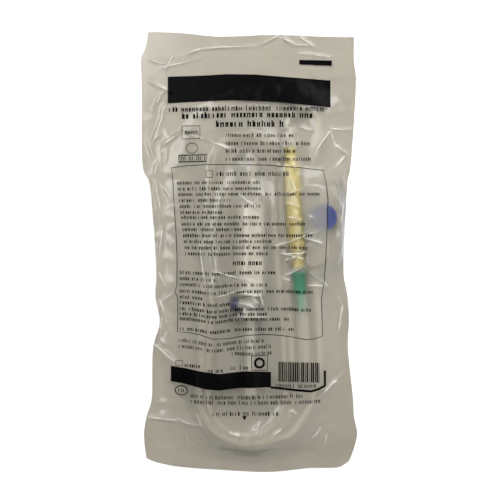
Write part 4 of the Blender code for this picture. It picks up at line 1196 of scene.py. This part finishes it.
@dataclass
class Tubing:
    """The vinyl tubing: out of the drip chamber, round the coil, through the clamp, to the bulb.

    Attributes:
        spacing: distance between the tube's rings.
        sides: points in a ring.
        inner_lane: distance of the coil's inner lane from its outer edge.
        outer_lane: distance of its outer lane.
        low: height of the lower level.
        high: height of the upper level.
        merge: turn at which the lead joins the coil.
        leave: turn at which the tail leaves it.
        coil_points: points worked out on the coil.
        coil_stride: every how many of them the route takes.
        ring_gap: distance that parts two rings of the model's flattened stretch.
        ring_reach: distance within which a point belongs to a ring.
        run_reach: distance from the clamp's line within which the tube is flattened.
        bulb_approach: where the tube turns onto the needle line.
        bulb_entry: where it goes onto the bulb's connector.
    """

    spacing: float = 0.0022
    sides: int = 14
    inner_lane: float = 0.0065
    outer_lane: float = 0.00225
    low: float = 0.0027
    high: float = 0.0070
    merge: float = 0.17
    leave: float = 3.47
    coil_points: int = 420
    coil_stride: int = 6
    ring_gap: float = 0.0004
    ring_reach: float = 0.0003
    run_reach: float = 0.004
    bulb_approach: float = 0.0240
    bulb_entry: float = 0.0165

    def oval_point(self, inset: np.ndarray, turn: np.ndarray) -> np.ndarray:
        """X and Y on the coil.

        A turn runs down the left straight, round the bottom arc, up the right straight and
        round the top arc. The outer edge is two circles joined by their outside tangents.

        Args:
            inset: distances inside the outer edge.
            turn: turns from the top of the left straight.

        Returns:
            Array of X and Y.
        """
        down = COIL_BOTTOM - COIL_TOP
        span = np.linalg.norm(down)
        lean = math.asin((COIL_BOTTOM_RADIUS - COIL_TOP_RADIUS) / span)
        heading = math.atan2(down[1], down[0])
        left = heading - math.pi / 2 - lean + 2 * math.pi
        right = heading + math.pi / 2 + lean
        straight = span * math.cos(lean)
        middle = (self.inner_lane + self.outer_lane) / 2
        bottom = (COIL_BOTTOM_RADIUS - middle) * (right + 2 * math.pi - left)
        top = (COIL_TOP_RADIUS - middle) * (left - right)
        marks = np.cumsum([0, straight, bottom, straight, top])
        reach = (turn % 1.0) * marks[-1]
        angle = np.interp(reach, marks, [left, left, right + 2 * math.pi, right + 2 * math.pi,
                                         left + 2 * math.pi])
        share = np.interp(reach, marks, [0, 1, 1, 0, 0])[:, None]
        centre = COIL_TOP * (1 - share) + COIL_BOTTOM * share
        radius = COIL_TOP_RADIUS * (1 - share[:, 0]) + COIL_BOTTOM_RADIUS * share[:, 0] - inset
        return centre + np.column_stack([np.cos(angle), np.sin(angle)]) * radius[:, None]

    def coil(self) -> np.ndarray:
        """The coil's turns: inner upper, inner lower, outer lower, outer upper lane.

        Returns:
            Array of points, one a row.
        """
        turn = np.linspace(self.merge, self.leave, self.coil_points)
        inner, outer, low, high = self.inner_lane, self.outer_lane, self.low, self.high
        inset = np.interp(turn, LANE_TURNS, [inner, inner, inner, inner, outer, outer, outer, outer])
        level = np.interp(turn, LANE_TURNS, [high, high, low, low, low, low, high, high])
        return np.column_stack([self.oval_point(inset, turn), level])

    def clamp_stretch(self) -> np.ndarray:
        """The model's own flattened stretch in the clamp.

        Every ring of points of that node gives a centre and the half of its width across the
        clamp.

        Returns:
            Array of X, Y, Z and half thickness, a ring a row.
        """
        low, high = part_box("tubing_clamp_run")
        node = node_triangles("tubing_clamp_run").reshape(-1, 3)
        along_axis = slide_axis()
        across_axis = np.array([along_axis[1], -along_axis[0], 0.0])
        along = node @ along_axis
        rings = np.unique(np.round(along, 5))
        rings = rings[np.concatenate([[True], np.diff(rings) > self.ring_gap])]
        stretch = []
        for ring in rings:
            across = node[np.abs(along - ring) < self.ring_reach] @ across_axis
            place = along_axis * ring + across_axis * (across.max() + across.min()) / 2
            stretch.append((place[0], place[1], (low[2] + high[2]) / 2,
                            (across.max() - across.min()) / 2))
        return np.array(stretch)

    def route(self) -> tuple[np.ndarray, np.ndarray]:
        """The whole way of the tube.

        Returns:
            Its centreline, and its half thickness along that.
        """
        run = self.clamp_stretch()
        entry, leaving = run[0, :3], run[-1, :3]
        run_length = np.linalg.norm(leaving - entry)
        up = (leaving - entry) / run_length
        knots = np.vstack([LEAD_ROUTE, self.coil()[::self.coil_stride], TAIL_ROUTE,
                           entry - up * 2 * TUBE_DIAMETER, run[:, :3], leaving + up * 2 * TUBE_DIAMETER,
                           LOOP_ROUTE, needle_axis_point(self.bulb_approach),
                           needle_axis_point(self.bulb_entry)])
        line = smooth_route(knots, self.spacing)
        half = np.full(len(line), TUBE_RADIUS)
        along = (line - entry) @ up
        off = np.linalg.norm(line - entry - along[:, None] * up, axis=1)
        in_run = (off < self.run_reach) & (along > 0) & (along < (leaving - entry) @ up)
        half[in_run] = np.interp(along[in_run], (run[:, :3] - entry) @ up, run[:, 3])
        return line, half

    def build(self) -> bpy.types.Object:
        """Make the tube: an oval ring of points carried along the route, closed at both ends.

        A ring point is the centre plus the half thickness times the cosine of its angle
        sideways, plus the half width times the sine upwards. The half width keeps the length
        round the tube where the clamp has it flat.

        Returns:
            The piece.
        """
        line, half = self.route()
        tangent = np.gradient(line, axis=0)
        tangent /= np.linalg.norm(tangent, axis=1, keepdims=True)
        side = np.cross(tangent, np.array([0.0, 0.0, 1.0]))
        side /= np.linalg.norm(side, axis=1, keepdims=True)
        upward = np.cross(side, tangent)
        angle = np.linspace(0, 2 * math.pi, self.sides, endpoint=False)
        wide = np.sqrt(2 * TUBE_RADIUS ** 2 - half ** 2)
        surface = (line[:, None] + side[:, None] * (half[:, None] * np.cos(angle))[..., None]
                   + upward[:, None] * (wide[:, None] * np.sin(angle))[..., None])
        rows = len(line)
        ring = np.arange(self.sides)
        after = (ring + 1) % self.sides
        last = (rows - 1) * self.sides
        centres = rows * self.sides + np.array([0, 1])
        start = np.column_stack([ring, np.full(self.sides, centres[0]), after])
        end = np.column_stack([ring + last, after + last, np.full(self.sides, centres[1])])
        points = np.vstack([surface.reshape(-1, 3), line[[0, -1]]])
        faces = grid_faces(rows, self.sides, close_columns=True).tolist() + start.tolist() + end.tolist()
        mesh = make_mesh("tubing", points, faces)
        piece = link_object("tubing", mesh, "root", VINYL.material())
        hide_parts("tubing_lead", "tubing_coil", "tubing_tail", "tubing_clamp_run",
                    "tubing_loop")
        return piece


# Pieces that are shown as the model has them

@dataclass(frozen=True)
class PieceGroup:
    """Model pieces of one sub-assembly and the finishes that they get.

    Attributes:
        name: what the sub-assembly is.
        finishes: node names with their finishes.
    """

    name: str
    finishes: dict[str, Finish]

    def dress(self) -> list[bpy.types.Object]:
        """Give each piece its finish.

        Returns:
            The pieces.
        """
        pieces = [frame["nodes"][name] for name in self.finishes]
        for piece, finish in zip(pieces, self.finishes.values()):
            piece.data.materials.clear()
            piece.data.materials.append(finish.material())
        LOG.info("%s: %d pieces dressed", self.name, len(pieces))
        return pieces


PIECE_GROUPS = (
    PieceGroup("drip chamber and spike", {
        "drip_chamber": CHAMBER_SHELL, "chamber_outlet": CLEAR_SHELL, "drip_tube": CLEAR_SHELL,
        "filter_mesh": FILTER, "spike": GREY_ABS, "spike_cap": CLEAR_SHELL, "vent_cap": VIOLET_PE,
        "vent_filter": FILTER}),
    PieceGroup("roller clamp", {"clamp_body": MILKY_PE, "clamp_roller": BLUE_ABS}),
    PieceGroup("bulb and needle", {
        "bulb_inlet_connector": CLEAR_SHELL, "latex_bulb": AMBER_LATEX, "luer_connector": CLEAR_SHELL,
        "needle_hub": GREEN_PP, "needle_cannula": STEEL, "needle_sheath": CLEAR_SHELL}),
)


# Painted crease highlights and print

@dataclass
class FilmMarks:
    """Thin patches that follow the front film.

    Attributes:
        pouch: the pouch whose front film they lie on.
        cell: largest side of a patch's cells.
        lift: height over the film.
        seed: seed of the random draws.
        points: places of the patches so far.
        faces: their faces so far.
        count: number of places so far.
    """

    pouch: Pouch
    cell: float = 0.0006
    lift: float = 0.00007
    seed: int = 11
    points: list[np.ndarray] = field(default_factory=list)
    faces: list[np.ndarray] = field(default_factory=list)
    count: int = 0

    def patch(self, corners: np.ndarray) -> None:
        """Lay one four-cornered patch on the film.

        The patch is a grid: each point is the mix of the four corners by its two shares, set
        on the film's height there.

        Args:
            corners: X and Y of the corners, in order round the patch.
        """
        across = max(np.linalg.norm(corners[1] - corners[0]), np.linalg.norm(corners[2] - corners[3]))
        along = max(np.linalg.norm(corners[3] - corners[0]), np.linalg.norm(corners[2] - corners[1]))
        columns = max(1, int(math.ceil(across / self.cell)))
        rows = max(1, int(math.ceil(along / self.cell)))
        one, two = (share[..., None] for share in grid_shares(rows, columns))
        flat = ((corners[0] * (1 - two) + corners[1] * two) * (1 - one)
                + (corners[3] * (1 - two) + corners[2] * two) * one).reshape(-1, 2)
        height = self.pouch.surface(flat[:, 0], flat[:, 1]) + self.lift
        self.points.append(np.column_stack([flat, height]))
        self.faces.append(grid_faces(rows + 1, columns + 1) + self.count)
        self.count += len(flat)

    def ribbon(self, foot: np.ndarray, top: np.ndarray) -> None:
        """Lay patches side by side between two edges.

        Args:
            foot: X and Y along one edge.
            top: as many along the other.
        """
        for corners in zip(foot, foot[1:], top[1:], top):
            self.patch(np.array(corners))

    def stroke(self, route: np.ndarray, width: float) -> None:
        """Lay a line of an even width.

        Args:
            route: photograph places along the line.
            width: its width in metres.
        """
        line = photo_to_model(route)
        step = np.gradient(line, axis=0)
        step /= np.linalg.norm(step, axis=1, keepdims=True)
        normal = np.column_stack([-step[:, 1], step[:, 0]]) * width / 2
        self.ribbon(line - normal, line + normal)

    def finish(self, name: str, finish: Finish) -> bpy.types.Object:
        """Make the patches one piece on the film.

        Args:
            name: the piece's name.
            finish: its finish.

        Returns:
            The piece.
        """
        mesh = make_mesh(name, np.vstack(self.points), np.vstack(self.faces))
        LOG.info("%s: %d patches", name, len(self.faces))
        return link_object(name, mesh, "root", finish.material())


@dataclass
class CreaseHighlights(FilmMarks):
    """Painted highlights: white lines along the hard folds, which stand for their glints.

    Attributes:
        width: width of the line on a high fold.
        least_rise: height in millimetres from which a fold gets a painted highlight line.
        least_share: share of the width that a fold without height would have.
        stations: places along a line.
        waver: how far they stray, in photograph pixels.
    """

    lift: float = 0.00004
    width: float = 0.00044
    least_rise: float = 0.5
    least_share: float = 0.4
    stations: int = 7
    waver: float = 0.25

    def build(self) -> bpy.types.Object:
        """Lay a painted highlight line along every fold that is high enough, some shorter at one end or
        both.

        Returns:
            The piece.
        """
        rng = np.random.default_rng(self.seed)
        share = np.linspace(0, 1, self.stations)[:, None]
        for start, end, rise, _ in FOLDS + self.pouch.strewn_folds():
            if rise < self.least_rise:
                continue
            route = np.array(start) * (1 - share) + np.array(end) * share
            route += rng.normal(0, self.waver, route.shape)
            first = int(rng.integers(0, 2))
            last = self.stations - int(rng.integers(0, 3))
            self.stroke(route[first:last], self.width * min(1.0, self.least_share + rise / 2))
        return self.finish("film_crease_highlights", CREASE_HIGHLIGHT_FINISH)


class MarkForm(IntEnum):
    """Forms of the small marks that stand for letters."""

    STEM = 0
    PAIR = 1
    ARCH = 2
    CROSSED = 3


class TextLine(NamedTuple):
    """A line of small marks, in photograph pixels.

    Attributes:
        left: where it starts.
        right: where it ends.
        base: how far down its base line is.
        height: height of its low marks.
        bold: width of its strokes.
        dip: how far its middle hangs.
    """

    left: float
    right: float
    base: float
    height: float
    bold: float
    dip: float = 0.0


# Broad bands of ink: photograph places along their upper and their lower edge
TAG_BAND = ([(299.3, 60.0), (331.8, 60.6)], [(299.3, 64.6), (331.8, 66.0)])
HEADER_BAND = (
    [(167.8, 76.8), (200, 75.8), (227, 74.2), (255, 74.6), (290, 77.4), (330.4, 80.6)],
    [(167.8, 103.4), (200, 101.6), (230, 100.4), (255, 101.4), (279, 102.6), (300, 105.2), (330.4, 107.6)])
FOOTER_BAND = (
    [(171, 365.6), (186, 367.6), (203, 371), (219, 373.3), (233, 371.4), (247, 370), (270.8, 371)],
    [(171, 381), (182, 382.4), (193, 385), (206, 388.4), (219, 389.7), (241, 386.7), (270.8, 386.2)])

# Rows of the text in the frame, as base line and right end, down to the short middle line and on
UPPER_ROWS = ((184.7, 259), (190.7, 259), (196.2, 320), (202.2, 230), (208.2, 259), (214.2, 221),
              (219.2, 259), (225.8, 307), (231.2, 243), (237.2, 310), (243.2, 270), (249.2, 308),
              (255.2, 266))
LOWER_ROWS = ((274, 273), (280, 214), (286, 267), (292.5, 311), (298.5, 204), (304, 230), (310, 311),
              (315, 266), (320, 287), (330, 294))
# The upper rows' left end follows the frame by this much from row to row
ROW_SHIFT = 0.7

TEXT = [
    TextLine(169, 324, 112.0, 3.9, 0.95, -1.0), TextLine(182, 315, 119.0, 4.6, 1.35, -1.2),
    TextLine(216, 283, 127.5, 4.8, 1.5),
    *(TextLine(226, right, base, 3.1, 0.78)
      for base, right in ((138, 292), (146, 310), (153.5, 295), (161.5, 310))),
    TextLine(217, 286, 176.5, 3.6, 0.9),
    *(TextLine(177 + row * ROW_SHIFT, right, base, 2.8, 0.74)
      for row, (base, right) in enumerate(UPPER_ROWS)),
    TextLine(233, 260, 265, 3.8, 1.0),
    *(TextLine(180, right, base, 2.8, 0.74) for base, right in LOWER_ROWS),
    *(TextLine(left, right, base, 3.0, 0.66, 1.2)
      for base, left, right in ((341.5, 179, 264), (347.5, 179, 270), (353.5, 232, 271))),
]
# Lines under the bars, beside the footer's band and below it, then left of the upper text
SMALL_TEXT = [
    TextLine(276, 318, 386.2, 3.2, 0.6, 0.6), TextLine(178.5, 184.5, 391.4, 3.0, 0.6),
    TextLine(185, 201, 366.4, 3.1, 0.7), TextLine(208, 222, 370, 3.1, 0.7),
    TextLine(231, 248, 368.4, 3.1, 0.7), TextLine(191, 300, 396.5, 3.2, 0.72, 1.6),
    TextLine(191, 320, 402, 3.2, 0.72, 1.6), TextLine(213, 277, 414.6, 3.4, 0.8),
    TextLine(185, 197, 134.5, 3.6, 0.7), TextLine(181, 205.5, 160.8, 4.0, 0.7),
]

FRAME_LINE = [(173.7, 200), (173.2, 184), (171.6, 167.8), (188, 166), (207, 165.2), (236, 165.2),
              (266, 165.7), (300, 168.4), (323, 170.9), (325.6, 185), (327.3, 200), (326, 236),
              (325, 259), (323.8, 281), (321, 298), (321.6, 318), (322, 335.7), (314, 338.4),
              (305.6, 339), (292, 336.4), (281, 334.8), (264, 333.6), (246.6, 334.5),
              (228, 338.0), (213, 338.5), (199, 333.8), (188, 332), (177.5, 331.7),
              (178, 298), (175, 292), (177, 285), (177.2, 259), (176.2, 233), (173.7, 200)]


def rectangle(left: float, first: float, right: float, second: float) -> list[tuple[float, float]]:
    """Places round a rectangle, from its first edge across to its second one and back."""
    return [(left, first), (right, first), (right, second), (left, second), (left, first)]


def ellipse(across: float, down: float, half_width: float, half_height: float) -> np.ndarray:
    """Places round an ellipse: the middle plus the halves times cosine and sine."""
    angle = np.linspace(0, 2 * math.pi, 25)
    return np.column_stack([across + half_width * np.cos(angle), down + half_height * np.sin(angle)])


# Lines of ink, as photograph places and a width in metres: the frame with its small box, the
# heavy rules right of the footer's band, and plain boxes and rings
STROKES = [
    (FRAME_LINE, 0.00042), (rectangle(206.4, 177.8, 212.8, 171.4), 0.00045),
    ([(270.5, 386.3), (284, 387.8), (298, 389.4), (310.5, 390.6), (318, 388.4), (324.7, 385.2)], 0.0013),
    ([(324.7, 385.8), (324.6, 378), (324.5, 370)], 0.0013),
    (rectangle(251.5, 354.8, 267.4, 369.2), 0.00045), (ellipse(259.4, 362, 4.4, 4.4), 0.0013),
    (ellipse(181.5, 389.8, 6.2, 4.6), 0.0006), (rectangle(176, 360, 183, 365.4), 0.0004),
    (rectangle(182, 126, 200, 139), 0.0004), (ellipse(192, 148.5, 5.6, 5.2), 0.0004),
    (rectangle(179, 155.4, 207, 162), 0.0006),
]


@dataclass
class Print(FilmMarks):
    """Black print on the front film: bands, lines, bars, and marks that stand for text.

    Attributes:
        band_marks: places along a band's edges.
        mark_width: least and greatest width of a mark, as shares of its height.
        tall: height of a tall mark, as a share of the low ones' height.
        tall_share: share of the marks that are tall.
        mark_gap: gap between marks, as a share of their height.
        word_gap: more gap between words, likewise.
        word_marks: least number of marks in a word, and one more than the greatest.
        crossbar: thickness of a crossbar, as a share of the strokes' width.
        crossbar_height: height of the middle crossbar, as a share of the mark's height.
        bend_middle: how far down the film's folds shift the print most, and over what reach.
        bends: shift, place across and reach of each such fold, in photograph pixels.
        bars: left and right end, foot and height of the row of bars.
        bars_tilt: how much the row falls for each pixel across.
        bar_widths: widths of the bars.
        bar_gaps: gaps between them.
        arrow: middle, top, half width and height of a row of the small triangle at the foot.
        arrow_rows: number of its rows.
    """

    band_marks: int = 40
    mark_width: tuple[float, float] = (0.45, 0.85)
    tall: float = 1.35
    tall_share: float = 0.22
    mark_gap: float = 0.28
    word_gap: float = 0.75
    word_marks: tuple[int, int] = (2, 11)
    crossbar: float = 0.8
    crossbar_height: float = 0.45
    bend_middle: tuple[float, float] = (330, 60)
    bends: tuple[tuple[float, float, float], ...] = ((3.5, 213, 16), (1.5, 305, 12))
    bars: tuple[float, float, float, float] = (278.2, 319.6, 380.6, 19.6)
    bars_tilt: float = 0.03
    bar_widths: tuple[float, ...] = (0.45, 0.9, 1.35)
    bar_gaps: tuple[float, ...] = (0.45, 0.6, 1.1)
    arrow: tuple[float, float, float, float] = (244.5, 415.6, 2.2, 0.7)
    arrow_rows: int = 6

    def band(self, upper: list[tuple[float, float]], lower: list[tuple[float, float]]) -> None:
        """Lay a broad band.

        Args:
            upper: photograph places along its upper edge, which give its ends.
            lower: photograph places along its lower edge.
        """
        marks = np.linspace(upper[0][0], upper[-1][0], self.band_marks)
        top, foot = (photo_to_model(np.column_stack([marks, np.interp(marks, *np.array(edge).T)]))
                     for edge in (upper, lower))
        self.ribbon(foot, top)

    def box(self, left: float, foot: float, width: float, height: float) -> None:
        """Lay a small upright box, by the photograph place of its lower left corner."""
        right, top = left + width, foot - height
        self.patch(photo_to_model(np.array([(left, foot), (right, foot), (right, top), (left, top)])))

    def bend(self, across: float, down: float) -> float:
        """How far the film's folds shift the print down, in photograph pixels.

        Each fold adds its shift times a bell curve across, and all of it times a bell curve down.

        Args:
            across: photograph place across.
            down: photograph place down.

        Returns:
            The shift.
        """
        middle, reach = self.bend_middle
        return math.exp(-((down - middle) / reach) ** 2) * sum(
            shift * math.exp(-((across - place) / width) ** 2) for shift, place, width in self.bends)

    def words(self, rng: np.random.Generator, line: TextLine) -> None:
        """Lay a line of small marks that stands for text, without any letters.

        Marks of one to three upright or flat strokes stand side by side, with gaps between
        groups of them. The base line bends by the dip towards its middle.

        Args:
            rng: the random draws.
            line: where and how large.
        """
        left, right, base, height, bold, dip = line
        place = left
        remaining = int(rng.integers(*self.word_marks))
        while place < right:
            share = (place - left) / max(right - left, 1)
            foot = base + dip * math.sin(math.pi * share) + self.bend(place, base)
            width = height * rng.uniform(*self.mark_width)
            tall = height * (self.tall if rng.random() < self.tall_share else 1.0)
            form = MarkForm(int(rng.integers(0, len(MarkForm))))
            self.box(place, foot, bold, tall)
            if form != MarkForm.STEM:
                self.box(place + (width - bold), foot, bold, height)
            if form == MarkForm.ARCH:
                self.box(place, foot - (height - bold), width, bold * self.crossbar)
            if form == MarkForm.CROSSED:
                self.box(place, foot - height * self.crossbar_height, width, bold * self.crossbar)
            place += width + height * self.mark_gap
            remaining -= 1
            if remaining == 0:
                place += height * self.word_gap
                remaining = int(rng.integers(*self.word_marks))

    def upright_bars(self, rng: np.random.Generator) -> None:
        """Lay a row of upright bars of random widths and gaps, which encodes nothing.

        Args:
            rng: the random draws.
        """
        left, right, foot, height = self.bars
        place = left
        while place < right:
            width = float(rng.choice(self.bar_widths))
            self.box(place, foot + (place - left) * self.bars_tilt, width, height)
            place += width + float(rng.choice(self.bar_gaps))

    def small_arrow(self) -> None:
        """Lay the small triangle that points down, as rows that get shorter."""
        middle, top, half_width, row_height = self.arrow
        for row in range(self.arrow_rows):
            half = half_width * (1 - row / self.arrow_rows)
            self.box(middle - half, top + row * row_height, 2 * half, row_height)

    def build(self) -> bpy.types.Object:
        """Lay out the whole print.

        Returns:
            The piece.
        """
        rng = np.random.default_rng(self.seed)
        for upper, lower in (TAG_BAND, HEADER_BAND, FOOTER_BAND):
            self.band(upper, lower)
        for route, width in STROKES:
            self.stroke(route, width)
        for line in TEXT:
            self.words(rng, line)
        self.upright_bars(rng)
        for line in SMALL_TEXT:
            self.words(rng, line)
        self.small_arrow()
        return self.finish("film_print", INK)


# Stage

class Lamp(NamedTuple):
    """A square soft lamp.

    Attributes:
        name: its name.
        place: where it stands.
        size: its side.
        power: its power in watts.
    """

    name: str
    place: tuple[float, float, float]
    size: float
    power: float


@dataclass
class Stage:
    """White table, soft studio light and the camera straight above.

    Attributes:
        distance: height of the camera.
        sensor: width of the camera's sensor, in millimetres.
        zenith: strength of the studio overhead.
        horizon: strength of the studio at the sides.
        near_share: share of that strength left at the dim side.
        bright_side: direction of the bright side.
        lamps: the lamps.
        table_half: half the table's side.
        table_top: its height, just under the pouch.
        table_glow: grey that the table adds for the camera.
        table_grain: noise cells in a metre.
        table_tones: the board's darker and lighter shade, in sRGB.
    """

    distance: float = 1.3
    sensor: float = 36.0
    zenith: float = 0.30
    horizon: float = 1.75
    near_share: float = 0.0
    bright_side: tuple[float, float, float] = (0.87, 0.50, 0.0)
    lamps: tuple[Lamp, ...] = (Lamp("key", (0.20, 0.40, 0.46), 0.34, 1.7),
                               Lamp("fill", (-0.36, 0.22, 1.05), 0.50, 4.4),
                               Lamp("back", (0.40, 0.75, 0.70), 0.45, 1.2))
    table_half: float = 3.0
    table_top: float = -0.0002
    table_glow: float = 0.45
    table_grain: float = 40.0
    table_tones: tuple[str, str] = ("#E4E4E4", "#EAEAEA")

    def build(self) -> None:
        """Make the table, the world, the lamps and the camera."""
        far, top = self.table_half, self.table_top
        mesh = make_mesh("table", np.array([(-far, -far, top), (far, -far, top), (far, far, top),
                                            (-far, far, top)]), [(0, 1, 2, 3)])
        table = bpy.data.objects.new("table", mesh)
        bpy.context.scene.collection.objects.link(table)
        mesh.materials.append(self.table_finish())
        self.world()
        for lamp in self.lamps:
            self.hang(lamp)
        self.camera()
        bpy.context.scene.view_settings.view_transform = "Standard"

    def camera(self) -> None:
        """Set the camera straight above the photograph's middle, with the photograph's field."""
        data = bpy.data.cameras.new("camera")
        camera = bpy.data.objects.new("camera", data)
        bpy.context.scene.collection.objects.link(camera)
        centre = photo_to_model(np.array([PHOTO_SIDE / 2, PHOTO_SIDE / 2]))[0]
        camera.location = (centre[0], centre[1], self.distance)
        data.sensor_width = self.sensor
        data.lens = self.sensor * self.distance / (PHOTO_SIDE * PIXEL)
        bpy.context.scene.camera = camera

    def table_finish(self) -> bpy.types.Material:
        """Matt painted white board that keeps the object's shadow and shows white elsewhere.

        Returns:
            The material.
        """
        material, tree = new_tree("white_board")
        tree.nodes.remove(tree.nodes["Principled BSDF"])
        place = add_node(tree, "ShaderNodeTexCoord").outputs["Object"]
        noise = add_node(tree, "ShaderNodeTexNoise", {"Vector": place, "Scale": self.table_grain})
        shade = add_node(tree, "ShaderNodeValToRGB", {"Fac": noise.outputs["Fac"]})
        for element, tone in zip(shade.color_ramp.elements, self.table_tones):
            element.color = linear(tone)
        matt = add_node(tree, "ShaderNodeBsdfDiffuse", {"Color": shade.outputs["Color"]})
        path = add_node(tree, "ShaderNodeLightPath")
        seen = path.outputs["Is Camera Ray"]
        for ray in ("Is Glossy Ray", "Is Transmission Ray"):
            seen = add_node(tree, "ShaderNodeMath", {0: seen, 1: path.outputs[ray]},
                            operation="MAXIMUM").outputs[0]
        grey = (self.table_glow, self.table_glow, self.table_glow, 1.0)
        glow = add_node(tree, "ShaderNodeEmission", {"Strength": seen, "Color": grey})
        both = add_node(tree, "ShaderNodeAddShader", {0: matt.outputs[0], 1: glow.outputs[0]})
        tree.links.new(both.outputs[0], tree.nodes["Material Output"].inputs["Surface"])
        return material

    def world(self) -> None:
        """A studio that is dim overhead and bright at the sides, and white to the camera.

        Its strength rises from the zenith to the horizon with one less the square of the
        upward share of the direction. It falls from the bright side to the opposite one.
        """
        world = bpy.data.worlds.new("studio")
        bpy.context.scene.world = world
        world.use_nodes = True
        tree = world.node_tree
        background = tree.nodes["Background"]
        background.inputs["Color"].default_value = (1, 1, 1, 1)
        direction = add_node(tree, "ShaderNodeTexCoord").outputs["Generated"]
        upward = add_node(tree, "ShaderNodeSeparateXYZ", {"Vector": direction}).outputs["Z"]
        square = add_node(tree, "ShaderNodeMath", {0: upward, 1: upward}, operation="MULTIPLY")
        light = add_node(tree, "ShaderNodeMapRange",
                         {"Value": square.outputs[0], "From Min": 1.0, "From Max": 0.0,
                          "To Min": self.zenith, "To Max": self.horizon})
        side = add_node(tree, "ShaderNodeVectorMath", {0: direction, 1: self.bright_side},
                        operation="DOT_PRODUCT")
        lean = add_node(tree, "ShaderNodeMapRange",
                        {"Value": side.outputs["Value"], "From Min": -1.0, "From Max": 1.0,
                         "To Min": self.near_share, "To Max": 1.0})
        leaned = add_node(tree, "ShaderNodeMath",
                          {0: light.outputs["Result"], 1: lean.outputs["Result"]},
                          operation="MULTIPLY")
        path = add_node(tree, "ShaderNodeLightPath")
        strength = add_node(tree, "ShaderNodeMix", {"Factor": path.outputs["Is Camera Ray"],
                                                    "A": leaned.outputs[0], "B": 1.0})
        tree.links.new(strength.outputs["Result"], background.inputs["Strength"])

    def hang(self, lamp: Lamp) -> None:
        """Hang a lamp that points at the pouch's middle.

        Args:
            lamp: the lamp.
        """
        data = bpy.data.lights.new(lamp.name, "AREA")
        data.size = lamp.size
        data.energy = lamp.power
        light = bpy.data.objects.new(lamp.name, data)
        bpy.context.scene.collection.objects.link(light)
        light.location = lamp.place
        back = np.array(lamp.place) / np.linalg.norm(lamp.place)
        light.rotation_euler = (math.acos(back[2]), 0, math.atan2(back[1], back[0]) + math.pi / 2)


def main() -> None:
    """Build the stage, the films, their marks, the tubing and the finishes, and report them."""
    logging.basicConfig(level=logging.INFO, format="%(message)s")
    Stage().build()
    pouch = Pouch()
    pieces = pouch.build()
    # The first builder lays painted highlight lines along the film's folds
    for builder in (CreaseHighlights(pouch), Print(pouch), Tubing()):
        pieces.append(builder.build())
    for group in PIECE_GROUPS:
        pieces += group.dress()
    for piece in pieces:
        LOG.info("%s: %d faces in %s", piece.name, len(piece.data.polygons),
                 piece.data.materials[0].name)


if __name__ == "__main__":
    main()
